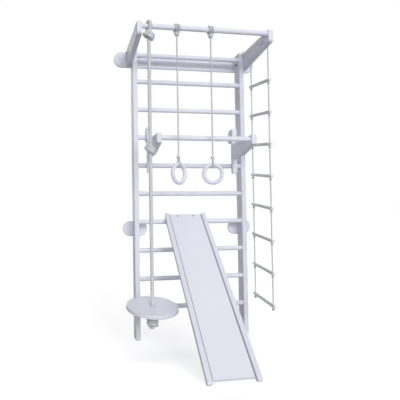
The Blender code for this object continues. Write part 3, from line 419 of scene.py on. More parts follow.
@dataclass
class Skin:
    """A surface of rows and columns of points, closed round its columns.

    Attributes:
        rows: points, as an array of rows by columns by three.
        closed_rows: the last row joins the first, as on a ring; otherwise each end is capped.
        uv: two numbers for each point, with one more column than rows has, or None.
        crest: how high each point stands on its strand, from 0 to 1, or None.
    """

    rows: np.ndarray
    closed_rows: bool = False
    uv: np.ndarray | None = None
    crest: np.ndarray | None = None

    def parts(self, start: int) -> tuple[np.ndarray, list[list[int]], np.ndarray, np.ndarray]:
        """Turns the surface into points, faces, face-corner UVs and crest values.

        A quad joins neighbours in row and column. A cap is a fan to the middle of its end row.

        Args:
            start: the number that the first point gets.

        Returns:
            Points, faces by point number, UVs by face corner, and crest values by point.
        """
        count, across = self.rows.shape[:2]
        points = self.rows.reshape(-1, 3)
        uv = self.uv if self.uv is not None else np.zeros((count, across + 1, 2))
        uv = np.concatenate([uv, uv[-1:]])
        last = count if self.closed_rows else count - 1
        row, column = np.meshgrid(np.arange(last), np.arange(across), indexing="ij")
        after, beside = (row + 1) % count, (column + 1) % across
        quads = np.stack([row * across + column, row * across + beside,
                          after * across + beside, after * across + column], axis=-1).reshape(-1, 4)
        corners = np.stack([uv[row, column], uv[row, column + 1], uv[row + 1, column + 1],
                            uv[row + 1, column]], axis=2).reshape(-1, 2)
        crest = self.crest.reshape(-1) if self.crest is not None else np.ones(len(points))
        faces = (quads + start).tolist()
        if not self.closed_rows:
            ring = np.arange(across)
            turn = (ring + 1) % across
            low, high = len(points), len(points) + 1
            base = (count - 1) * across
            faces += (np.stack([np.full(across, low), turn, ring], axis=1) + start).tolist()
            faces += (np.stack([np.full(across, high), base + ring, base + turn], axis=1) + start).tolist()
            corners = np.concatenate([corners, np.repeat(uv[:1, 0], 3 * across, axis=0),
                                      np.repeat(uv[-1:, 0], 3 * across, axis=0)])
            points = np.concatenate([points, self.rows[0].mean(0)[None], self.rows[-1].mean(0)[None]])
            crest = np.concatenate([crest, [1.0, 1.0]])
        return points, faces, corners, crest


def mesh_object(name: str, skins: list[Skin], material: bpy.types.Material,
                sharp: float | None = None) -> bpy.types.Object:
    """Makes one object of closed surfaces whose faces point outwards.

    The volume that each surface encloses, summed over its triangles from one point, tells which
    way its faces turn; where it is negative they are turned round.

    Args:
        name: the piece's name.
        skins: its surfaces.
        material: its finish.
        sharp: the angle above which an edge stays sharp, or None for an all smooth piece.

    Returns:
        The new object, at the origin.
    """
    points, faces, corners, crests = [], [], [], []
    start = 0
    for skin in skins:
        place, face, uv, crest = skin.parts(start)
        middle = place.mean(0)
        others = [[f[0], f[2], f[3]] for f in face if len(f) == 4]
        triangles = np.array([f[:3] for f in face] + others) - start
        a, b, c = (place[triangles[:, k]] - middle for k in range(3))
        if (a * np.cross(b, c)).sum() < 0:
            sizes = [len(f) for f in face]
            ends = np.cumsum(sizes)
            order = np.concatenate([np.arange(end - 1, end - size - 1, -1) for end, size in zip(ends, sizes)])
            face = [f[::-1] for f in face]
            uv = uv[order]
        points.append(place)
        faces += face
        corners.append(uv)
        crests.append(crest)
        start += len(place)
    mesh = bpy.data.meshes.new(name)
    mesh.from_pydata(np.concatenate(points).tolist(), [], faces)
    layer = mesh.uv_layers.new(name="surface")
    layer.uv.foreach_set("vector", np.concatenate(corners).astype(np.float32).ravel())
    height = mesh.attributes.new("crest", "FLOAT", "POINT")
    height.data.foreach_set("value", np.concatenate(crests).astype(np.float32))
    mesh.shade_smooth()
    if sharp is not None:
        mesh.set_sharp_from_angle(angle=sharp)
    mesh.materials.append(material)
    return in_scene(name, mesh)


def in_scene(name: str, data: bpy.types.ID) -> bpy.types.Object:
    """Puts a mesh, lamp or camera into the scene.

    Args:
        name: the object's name.
        data: what it shows.

    Returns:
        The new object.
    """
    made = bpy.data.objects.new(name, data)
    bpy.context.scene.collection.objects.link(made)
    return made


def round_angles(sides: int) -> np.ndarray:
    """Evenly spaced angles round a circle."""
    return np.arange(sides) * TAU / sides


def circles(radii: np.ndarray, heights: np.ndarray, angles: np.ndarray) -> np.ndarray:
    """Sets rows of points about the third axis, at the radius times the angle's cosine and sine."""
    radii, heights, angles = np.broadcast_arrays(radii, heights, angles)
    return np.stack([radii * np.cos(angles), radii * np.sin(angles), heights], axis=-1)


def placed(points: np.ndarray, place: Matrix) -> np.ndarray:
    """Moves points from a place's own axes to the frame's."""
    turn = np.array(place)
    return points @ turn[:3, :3].T + turn[:3, 3]


def turned(profile: np.ndarray, sides: int, place: Matrix, closed: bool = False) -> Skin:
    """Turns a profile, which gives radii and heights, about the third axis of a place."""
    rows = circles(profile[:, :1], profile[:, 1:], round_angles(sides))
    return Skin(placed(rows, place), closed_rows=closed)


def quarter(centre: Pair, radius: float, start: float, steps: int = 6) -> np.ndarray:
    """Points of a quarter circle, from an angle on."""
    angles = start + np.linspace(0, QUARTER, steps + 1)
    return np.stack([centre[0] + radius * np.cos(angles), centre[1] + radius * np.sin(angles)], axis=1)


def aimed(place: Point, direction: Point) -> Matrix:
    """A place whose third axis points along a direction."""
    return Matrix.Translation(place) @ Vector(direction).to_track_quat("Z", "Y").to_matrix().to_4x4()


def touching_angle(radius: float, across: float, below: float) -> float:
    """Finds the angle at which a line touches a circle that it comes to from a point below."""
    # Seen from the middle, both are apart by the angle whose cosine is radius over distance.
    return math.acos(radius / math.hypot(across, below)) - math.atan2(below, across)


def gone_along(path: np.ndarray) -> np.ndarray:
    """The length of the way to each point of a path."""
    return np.concatenate([[0.0], np.cumsum(np.linalg.norm(np.diff(path, axis=0), axis=1))])


def even_path(points: np.ndarray, step: float, stretch_steps: int = 24) -> np.ndarray:
    """A smooth line through points, with places evenly spaced along it.

    Each stretch between two points is a cubic whose slope at a point is half the difference of
    that point's neighbours.

    Args:
        points: the places to pass through.
        step: the distance between the places returned.
        stretch_steps: how many short steps each stretch is worked out in.

    Returns:
        The evenly spaced places.
    """
    padded = np.concatenate([[2 * points[0] - points[1]], points, [2 * points[-1] - points[-2]]])
    share = np.linspace(0, 1, stretch_steps, endpoint=False)[:, None]
    before, here, after, beyond = (padded[k:len(padded) - 3 + k, None] for k in range(4))
    fine = (here + share * (after - before) / 2
            + share ** 2 * (2 * before - 5 * here + 4 * after - beyond) / 2
            + share ** 3 * (3 * here - before - 3 * after + beyond) / 2).reshape(-1, 3)
    fine = np.concatenate([fine, points[-1:]])
    gone = gone_along(fine)
    at = np.linspace(0, gone[-1], max(3, math.ceil(gone[-1] / step) + 1))
    return np.stack([np.interp(at, gone, fine[:, k]) for k in range(3)], axis=1)


def carried_axes(path: np.ndarray, least: float = 0.1) -> tuple[np.ndarray, np.ndarray]:
    """Carries a cross-section's two axes along a path without letting them spin.

    The first axis is the last one less what of it lies along the new direction, and the second
    is square to the direction and the first.

    Args:
        path: the points to follow.
        least: a start within about this many radians of upright takes its first axis from -Y.

    Returns:
        The two axes across the path, at each point.
    """
    ahead = np.gradient(path, axis=0)
    ahead /= np.linalg.norm(ahead, axis=1, keepdims=True)
    side = np.cross(ahead[0], (0.0, 0.0, 1.0))
    if np.linalg.norm(side) < least:
        side = np.cross(ahead[0], (0.0, -1.0, 0.0))
    sides = [side / np.linalg.norm(side)]
    for here in ahead[1:]:
        carried = sides[-1] - here * (sides[-1] @ here)
        sides.append(carried / np.linalg.norm(carried))
    across = np.array(sides)
    return across, np.cross(ahead, across)


def tube_rows(path: np.ndarray, radii: np.ndarray, angles: np.ndarray) -> np.ndarray:
    """Sets a ring of points about each point of a path.

    Args:
        path: the points to follow.
        radii: the radius at each point and angle.
        angles: the angle of each column.

    Returns:
        The rows of points.
    """
    first, second = carried_axes(path)
    return (path[:, None] + first[:, None] * (radii * np.cos(angles))[..., None]
            + second[:, None] * (radii * np.sin(angles))[..., None])


@dataclass(frozen=True)
class Lay:
    """How a rope is laid, and how finely it is drawn.

    Attributes:
        diameter: the rope's diameter.
        turn: how far a strand goes while it winds once about the rope, over the diameter.
        sides: how many columns a strand has.
        strands: how many strands.
        groove: how deep the grooves between them are, over the radius.
        roundness: the power of the cosine that rounds a strand.
        end_width: the width at which an end is closed, over the diameter.
        step: how far apart the rows are, over the diameter.
    """

    diameter: float
    turn: float
    sides: int = 8
    strands: int = 3
    groove: float = 0.17
    roundness: float = 0.85
    end_width: float = 0.3
    step: float = 0.12

    def skin(self, path: np.ndarray, widths: np.ndarray) -> Skin:
        """Lays the rope along a path.

        The radius is largest at a strand's crest and falls as the cosine of the angle from it,
        to a sharp groove between strands. The crests turn about the path with its length.

        Args:
            path: the points to follow, close together.
            widths: the rope's width at each point over its diameter.

        Returns:
            The rope's surface, with a UV that runs across each strand and along the lay.
        """
        turns = gone_along(path) / (self.turn * self.diameter)
        columns = self.strands * self.sides
        angles = round_angles(columns)
        high = np.abs(np.cos(self.strands * (angles - TAU * turns[:, None]) / 2)) ** self.roundness
        radii = self.diameter / 2 * (1 - self.groove + self.groove * high) * widths[:, None]
        across = np.arange(columns + 1) / self.sides - self.strands * turns[:, None]
        along = np.broadcast_to(self.strands * turns[:, None], across.shape)
        return Skin(tube_rows(path, radii, angles), uv=np.stack([across, along], axis=-1), crest=high)

    def through(self, points: np.ndarray, place: Point, swell: float = 1.0) -> Skin:
        """Lays the rope along a smooth line through points that are given from a place."""
        path = even_path(points, self.step * self.diameter) + np.array(place)
        return self.skin(path, np.full(len(path), swell))

    def ended(self, path: np.ndarray, first: bool = True) -> Skin:
        """Lays the rope along a path and closes its ends as a quarter circle does.

        Args:
            path: the points to follow.
            first: the first end is closed too, and not the last one only.

        Returns:
            The rope's surface.
        """
        gone = gone_along(path)
        left = np.minimum(gone, gone[-1] - gone) if first else gone[-1] - gone
        share = np.clip(left / (self.diameter / 2), 0.0, 1.0)
        return self.skin(path, np.sqrt(np.maximum(1 - (1 - share) ** 2, self.end_width ** 2)))

    def steps(self, length: float) -> int:
        """How many steps a length is laid in."""
        return max(2, math.ceil(length / (self.step * self.diameter)))

    def straight(self, start: Point, end: Point) -> np.ndarray:
        """Evenly spaced points from one place to another."""
        return np.linspace(start, end, self.steps(math.dist(start, end)) + 1)


@dataclass(frozen=True)
class Knot:
    """A knot: the rope leaves its line, winds about it, and goes back in.

    Attributes:
        width: the knot's outer width.
        height: its height along the rope.
        turns: how many times it goes round.
        start: the angle at which it leaves the line.
        slant: how steeply its turns lean, as rise over reach.
        tail: how far the rope's cut end sticks out, or 0.
        tail_angle: the direction of that end.
        tail_rise: how steeply the end rises.
        swell: how much wider than elsewhere the rope is where it is wound.
        fullness: the even power that keeps the turns out until near the knot's ends.
        least_steps: the fewest steps that it is wound in.
    """

    width: float
    height: float
    turns: float
    start: float
    slant: float
    tail: float = 0.0
    tail_angle: float = 0.0
    tail_rise: float = 0.0
    swell: float = 1.06
    fullness: int = 8
    least_steps: int = 40

    def skins(self, lay: Lay, centre: Point) -> list[Skin]:
        """Winds the knot about an upright line.

        The distance from the line is flat over the middle of the way and falls to nothing at both
        ends, as one less an even power of the way does. The height falls evenly, and the slant
        adds to it the reach towards one side.

        Args:
            lay: the rope.
            centre: the knot's middle.

        Returns:
            The winding, and the cut end where there is one.
        """
        reach = (self.width - lay.diameter) / 2
        drop = (self.height - lay.diameter) / 2
        way = np.linspace(-1.0, 1.0, max(lay.steps(TAU * self.turns * reach), self.least_steps))
        angle = self.start + TAU * self.turns * (way + 1) / 2
        out = reach * (1 - way ** self.fullness)
        rise = -drop * way + self.slant * out * np.cos(angle - self.start)
        made = [lay.through(circles(out, rise, angle), centre, self.swell)]
        if self.tail:
            aim = np.array([math.cos(self.tail_angle), math.sin(self.tail_angle), self.tail_rise])
            end = np.array(centre) + aim / np.linalg.norm(aim) * (reach + self.tail)
            made.append(lay.ended(lay.straight(centre, end), first=False))
        return made


# Handing over

class Bench:
    """Finds places on the frame, and hands finished pieces over to the bodies that carry them."""

    def __init__(self) -> None:
        """Reads which body holds each node and makes the finishes."""
        bodies = frame["record"]["behaviour"]["bodies"]
        self.body_of = {node: body for body, nodes in bodies.items() for node in nodes}
        self.finishes = Finishes()

    def box(self, node: str) -> tuple[np.ndarray, np.ndarray]:
        """The lowest and the highest corner of a node."""
        low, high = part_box(node)
        return np.array(low), np.array(high)

    def middle(self, node: str) -> np.ndarray:
        """The middle of a node's box."""
        return sum(self.box(node)) / 2

    def end(self, node: str, side: float) -> float:
        """Where along X a node ends, on its left side for -1 and its right one for 1."""
        return self.box(node)[int(side > 0)][0]

    def between(self, stem: str) -> Pair:
        """Where along X the left one of a pair of nodes ends and the right one starts."""
        return self.end(stem + "_left", 1.0), self.end(stem + "_right", -1.0)

    def hung(self, node: str) -> tuple[float, float, float, float]:
        """Where a hanging rope is along X and Y, and the heights of its top and its foot."""
        low, high = self.box(node)
        return (low[0] + high[0]) / 2, (low[1] + high[1]) / 2, high[2], low[2]

    def over_bar(self, lay: Lay) -> float:
        """How far from the top bar's middle a rope lies on it."""
        return self.box("top_bar")[1][2] - self.middle("top_bar")[2] + lay.diameter / 2 + ROPE_GAP

    def on_slide(self, across: np.ndarray, rise: np.ndarray, gone: np.ndarray) -> np.ndarray:
        """Finds places on the slide.

        A place is the middle of the deck's top edge, plus each length along its own direction.

        Args:
            across: how far along X.
            rise: how far out of the deck's face.
            gone: how far down the slope.

        Returns:
            The places.
        """
        across, rise, gone = np.broadcast_arrays(across, rise, gone)
        edge = self.box("slide_deck")[1] * (0.0, 1.0, 1.0)
        return edge + across[..., None] * ALONG_X + rise[..., None] * OFF_SLIDE + gone[..., None] * DOWN_SLIDE

    def make(self, name: str, skins: list[Skin], coat: Coat, *nodes: str, body: str | None = None,
             sharp: float | None = None, cutters: list[Skin] | None = None) -> bpy.types.Object:
        """Makes a piece of closed surfaces and hands it over.

        Args:
            name: the piece's name.
            skins: its surfaces.
            coat: its finish.
            nodes: the nodes that it replaces.
            body: its body, where it replaces no node.
            sharp: the angle above which an edge stays sharp, or None.
            cutters: surfaces that are taken out of it, or None.

        Returns:
            The piece.
        """
        piece = mesh_object(name, skins, coat.material, sharp)
        if cutters:
            self.cut(piece, cutters)
        return self.hand_over(piece, coat.slot, *nodes, body=body)

    def hand_over(self, piece: bpy.types.Object, slot: Slot, *nodes: str,
                  body: str | None = None) -> bpy.types.Object:
        """Lets a piece ride on its body and stand for its nodes.

        Args:
            piece: the finished piece.
            slot: the record's slot for its finish; not used.
            nodes: the nodes that it replaces.
            body: its body, where it replaces no node.

        Returns:
            The piece.
        """
        body = body or self.body_of[nodes[0]]
        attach(piece, body)
        if nodes:
            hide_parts(*nodes)
        LOG.info("%s rides on %s", piece.name, body)
        return piece

    def cut(self, piece: bpy.types.Object, cutters: list[Skin]) -> None:
        """Takes closed surfaces out of a piece, and shades what is left softly.

        Args:
            piece: the piece, still without modifiers.
            cutters: the surfaces that are taken out.
        """
        cutter = mesh_object("cutter", cutters, piece.data.materials[0])
        taken = piece.modifiers.new("cut", "BOOLEAN")
        taken.object, taken.operation, taken.solver = cutter, "DIFFERENCE", "EXACT"
        graph = bpy.context.evaluated_depsgraph_get()
        mesh = bpy.data.meshes.new_from_object(piece.evaluated_get(graph))
        piece.modifiers.clear()
        piece.data = mesh
        bpy.data.objects.remove(cutter)
        mesh.shade_smooth()
        mesh.set_sharp_from_angle(angle=CUT_ANGLE)
        piece.modifiers.new("even_shading", "WEIGHTED_NORMAL").keep_sharp = True

    def dress_board(self, node: str, grain: Axis, eased: float = 0.0) -> None:
        """Replaces a board by a copy whose doubled points are merged and whose edges shade softly.

        Args:
            node: the board's node.
            grain: the direction of its grain.
            eased: how far its sharp edges are rounded off.
        """
        coat = self.finishes.paint[grain]
        mesh = frame["nodes"][node].data.copy()
        shape = bmesh.new()
        shape.from_mesh(mesh)
        bmesh.ops.remove_doubles(shape, verts=shape.verts, dist=WELD)
        bmesh.ops.dissolve_limit(shape, angle_limit=FLAT_ANGLE, verts=shape.verts, edges=shape.edges)
        shape.to_mesh(mesh)
        shape.free()
        mesh.name = node + "_painted"
        mesh.materials.clear()
        mesh.materials.append(coat.material)
        mesh.shade_smooth()
        mesh.set_sharp_from_angle(angle=BOARD_ANGLE)
        piece = in_scene(node + "_painted", mesh)
        if eased:
            edges = piece.modifiers.new("eased_edges", "BEVEL")
            edges.width, edges.segments = eased, EASE_SEGMENTS
            edges.limit_method, edges.angle_limit = "ANGLE", BOARD_ANGLE
        piece.modifiers.new("even_shading", "WEIGHTED_NORMAL").keep_sharp = True
        self.hand_over(piece, coat.slot, node)


# Sub-assemblies

@dataclass
class RoundBars:
    """Round wooden bars: rungs, the top bar and the pull-up bar."""

    bench: Bench
    rungs: int = 10
    sides: int = 64
    bead: float = 0.0006
    bead_length: float = 0.0022
    bead_steps: int = 7

    def bar(self, node: str, faces: Pair) -> None:
        """Makes a bar along X in place of its node.

        The profile is straight, with a bead of paint where it enters the wood at each side: there
        it rises as a quarter circle does.

        Args:
            node: the bar's node.
            faces: where along X it leaves the wood on the left and enters it on the right.
        """
        low, high = self.bench.box(node)
        middle, radius = (low + high) / 2, (high[2] - low[2]) / 2
        share = np.linspace(0, 1, self.bead_steps)
        rise = self.bead * (1 - np.sqrt(1 - (1 - share) ** 2))
        left = np.stack([radius + rise, faces[0] + share * self.bead_length], axis=1)
        right = np.stack([radius + rise[::-1], faces[1] - share[::-1] * self.bead_length], axis=1)
        profile = np.concatenate([[[radius, low[0]], [radius, faces[0] - self.bead_length]], left, right,
                                  [[radius, faces[1] + self.bead_length], [radius, high[0]]]])
        skin = turned(profile, self.sides, aimed((0.0, middle[1], middle[2]), ALONG_X))
        self.bench.make(node + "_turned", [skin], self.bench.finishes.paint[Axis.X], node, sharp=TURNED_ANGLE)

    def build(self) -> None:
        """Makes the rungs, the top bar and the pull-up bar."""
        for number in range(1, self.rungs + 1):
            self.bar(f"rung_{number:02d}", self.bench.between("upright"))
        self.bar("top_bar", self.bench.between("arm"))
        self.bar("pull_up_bar", self.bench.between("pull_up_gusset"))


@dataclass
class Boards:
    """The flat boards: uprights, arms, the pull-up bar's boards and the slide's hook plates."""

    bench: Bench
    hook_ease: float = 0.0015

    def build(self) -> None:
        """Dresses the boards, each with the grain along its length."""
        for side in SIDES:
            self.bench.dress_board(f"upright_{side}", Axis.Z)
            self.bench.dress_board(f"arm_{side}", Axis.Y)
            self.bench.dress_board(f"pull_up_gusset_{side}", Axis.Y)
            self.bench.dress_board(f"pull_up_hook_{side}", Axis.Z, self.hook_ease)
            self.bench.dress_board(f"slide_hook_{side}", Axis.Z, self.hook_ease)


@dataclass
class WallBoards:
    """The boards that hold the frame to the wall, with half-round ends and countersunk holes."""

    bench: Bench
    end_steps: int = 40
    edge: float = 0.003
    hole: float = 0.004
    hole_sides: int = 40
    sink: float = 0.008
    sink_depth: float = 0.004
    overrun: float = 0.001
    batten_inset: float = 0.045
    plate_spacing: float = 0.122

    def build(self) -> None:
        """Makes the batten and the two plates."""
        reach = self.bench.box("wall_batten")[1][0] - self.batten_inset
        self.board("wall_batten", (-reach, reach))
        for side in SIDES:
            middle, half = self.bench.middle(f"wall_plate_{side}")[0], self.plate_spacing / 2
            self.board(f"wall_plate_{side}", (middle - half, middle + half))

    def board(self, node: str, holes: Pair) -> None:
        """Makes one board.

        Its outline is a circle pulled apart into two halves, and the rows follow a profile with
        rounded edges from the front face to the back one. Turned cutters bore the holes.

        Args:
            node: the board's node.
            holes: where along X its holes are.
        """
        low, high = self.bench.box(node)
        middle, radius = (low + high) / 2, (high[2] - low[2]) / 2
        front, back, over = low[1], high[1], self.overrun
        angles = np.linspace(-QUARTER, QUARTER, self.end_steps)
        angles = np.concatenate([angles, angles + math.pi])
        pulled = np.repeat([1.0, -1.0], self.end_steps) * ((high[0] - low[0]) / 2 - radius)
        profile = np.concatenate([quarter((radius - self.edge, front + self.edge), self.edge, -QUARTER),
                                  quarter((radius - self.edge, back - self.edge), self.edge, 0.0)])
        rows = circles(profile[:, :1], profile[:, 1:], angles)[..., [0, 2, 1]]
        rows = rows + pulled[:, None] * ALONG_X + middle * (1.0, 0.0, 1.0)
        bore = np.array([(self.sink + over, -over), (self.hole, self.sink_depth),
                         (self.hole, back - front + over)])
        cutters = [turned(bore, self.hole_sides, aimed((x, front, middle[2]), TO_WALL)) for x in holes]
        self.bench.make(node + "_painted", [Skin(rows)], self.bench.finishes.paint[Axis.X], node,
                        cutters=cutters)


@dataclass
class SlideRails:
    """The slide's rails: rounded bars with a plumb top end, a round foot and a groove for the deck."""

    bench: Bench
    height: float = 0.030
    crown: float = 0.008
    edge: float = 0.004
    top_ease: float = 0.0015
    top_steps: int = 6
    foot_ease: float = 0.0085
    foot_steps: int = 20
    foot_turn: float = math.radians(89.0)
    overrun: float = 0.030

    def build(self) -> None:
        """Makes both rails, whose grooves end where the deck does."""
        low, high = self.bench.box("slide_deck")
        self.rail("slide_rail_left", -1.0, low[0] - SEAT_GAP)
        self.rail("slide_rail_right", 1.0, high[0] + SEAT_GAP)

    def rail(self, node: str, side: float, tongue: float) -> None:
        """Makes one rail.

        A rounded rectangle is carried down the slope. At the top each point starts lower down the
        deeper it lies, which makes the end plumb, and the section grows to its size over a short
        way. At the foot the section's height falls as a circle's does, and its width draws in over
        the last stretch. A bar of the deck's thickness then cuts the groove.

        Args:
            node: the rail's node.
            side: -1 for the left rail, 1 for the right one.
            tongue: where along X the groove ends, inside the rail.
        """
        low, high = self.bench.box(node)
        deck_low, deck_high = self.bench.box("slide_deck")
        middle, wide, half = (low[0] + high[0]) / 2, (high[0] - low[0]) / 2, self.height / 2
        level = self.crown - half
        inner = (wide - self.edge, half - self.edge)
        corners = ((1, 1, 0.0), (-1, 1, QUARTER), (-1, -1, math.pi), (1, -1, -QUARTER))
        section = np.concatenate([quarter((inner[0] * a, inner[1] * b), self.edge, turn)
                                  for a, b, turn in corners])
        foot = (deck_high[2] + level * OFF_SLIDE[2] - half) / -DOWN_SLIDE[2]
        bend = np.linspace(0, QUARTER, self.top_steps)
        nose = np.linspace(0, self.foot_turn, self.foot_steps)
        near = np.clip((half * np.sin(nose) - half + self.foot_ease) / self.foot_ease, 0.0, 1.0)
        eased = self.top_ease * (1 - np.sin(bend))
        along = np.concatenate([self.top_ease * (1 - np.cos(bend)), foot + half * np.sin(nose)])[:, None]
        drawn = np.concatenate([eased, self.foot_ease * (1 - np.sqrt(1 - near ** 2))])[:, None]
        tall = np.concatenate([1 - eased / half, np.cos(nose)])[:, None]
        plumb = np.repeat([1.0, 0.0], (self.top_steps, self.foot_steps))[:, None]
        across = middle + section[:, 0] * (1 - drawn / wide)
        rise = level + section[:, 1] * tall
        rows = self.bench.on_slide(across, rise, along - plumb * rise * math.tan(SLIDE_SLOPE))

        face = (low if side > 0 else high)[0] - side * self.overrun
        bottom = -DECK_THICKNESS - SEAT_GAP
        end = (deck_low[2] - deck_high[2] + DECK_THICKNESS * OFF_SLIDE[2]) / DOWN_SLIDE[2] + SEAT_GAP
        groove = self.bench.on_slide(np.array([face, tongue, tongue, face]),
                                     np.array([SEAT_GAP, SEAT_GAP, bottom, bottom]),
                                     np.array([[-self.overrun], [end]]))
        self.bench.make(node + "_painted", [Skin(rows)], self.bench.finishes.paint[Axis.Y], node,
                        cutters=[Skin(groove)])


@dataclass
class Deck:
    """The slide's deck: a smooth board, with a fine shadow groove where it enters each rail.

    The lip gives a place over the groove's width, and its depth over the groove's.
    """

    bench: Bench
    groove_width: float = 0.0060
    groove_depth: float = 0.0026
    lip: Pair = (1.08, 0.15)
    shoulder: float = 1.25
    shadow_strip_rise: float = 0.0012
    shadow_strip_ends: float = 0.0025
    steps: int = 24

    def build(self) -> None:
        """Makes the deck and the grey joint strips in its grooves.

        The strips are dark grey, as painted shadow lines along the rails. The deck's cross-section is
        carried down the slope. The top end is plumb, so there each point starts lower down the slope the
        deeper it lies; the bottom end is square.
        """
        low, high = self.bench.box("slide_deck")
        left, right = self.bench.between("slide_rail")
        wide, deep = self.groove_width, self.groove_depth
        lip, dip, shoulder = wide * self.lip[0], -deep * self.lip[1], wide * self.shoulder
        section = np.array([
            (low[0], -DECK_THICKNESS), (high[0], -DECK_THICKNESS), (high[0], -deep), (right, -deep),
            (right - wide, -deep), (right - lip, dip), (right - shoulder, 0.0),
            (left + shoulder, 0.0), (left + lip, dip), (left + wide, -deep), (left, -deep), (low[0], -deep)])
        length = (low[2] - high[2] + DECK_THICKNESS * OFF_SLIDE[2]) / DOWN_SLIDE[2]
        start = -section[:, 1] * math.tan(SLIDE_SLOPE)
        share = np.linspace(0, 1, self.steps + 1)[:, None]
        rows = self.bench.on_slide(section[:, 0], section[:, 1], start + (length - start) * share)
        finishes = self.bench.finishes
        # The deck wears its lightened paint, which is painted light.
        self.bench.make("slide_deck_grooved", [Skin(rows)], finishes.deck, "slide_deck", sharp=TURNED_ANGLE)
        # Painted shade: dark grey strips in the grooves stand in for the shadow line along each rail.
        along = self.shadow_strip_ends + (length - 2 * self.shadow_strip_ends) * share
        rise = np.array([0.0, 0.0, self.shadow_strip_rise, self.shadow_strip_rise]) - deep
        joints = [Skin(self.bench.on_slide(np.array([near, far, far, near]), rise, along))
                  for near, far in ((left, left + wide), (right - wide, right))]
        self.bench.make("slide_deck_painted_shadow_lines", joints, finishes.joint, body="slide", sharp=TURNED_ANGLE)


@dataclass(frozen=True)
class Screw:
    """A countersunk screw with a cross recess. Only its head shows.

    The recess and the cone are sized over the head's radius, apart from heights.
    """

    diameter: float = 0.0085
    depth: float = 0.004
    recess_reach: float = 0.62
    recess_width: float = 0.13
    recess_depth: float = 0.0016
    recess_ease: float = 0.10
    proud: float = 0.0002
    start: float = 0.03
    cone: Pair = (0.99, -0.0004)
    tip: float = 0.55
    rows: int = 16
    sides: int = 48

    def skin(self, place: Point, outwards: Point) -> Skin:
        """Builds a head that faces outwards.

        The face is a disc on a polar grid. Its height drops where a point lies within the arms of a
        cross, whose edge is softened. A cone closes it below.

        Args:
            place: the middle of the head, on the board's surface.
            outwards: the direction that it faces.

        Returns:
            The head's surface.
        """
        radius = self.diameter / 2
        angles = round_angles(self.sides)
        reach = np.linspace(self.start, 1.0, self.rows)[:, None]
        arm = np.minimum(np.abs(reach * np.cos(angles)), np.abs(reach * np.sin(angles))) - self.recess_width
        inside = np.clip(-np.maximum(arm, reach - self.recess_reach) / self.recess_ease, 0.0, 1.0)
        cone = np.array([self.cone, (self.tip, -self.depth)])
        rows = np.concatenate([circles(radius * reach, self.proud - self.recess_depth * inside, angles),
                               circles(radius * cone[:, :1], cone[:, 1:], angles)])
        return Skin(placed(rows, aimed(place, outwards)))


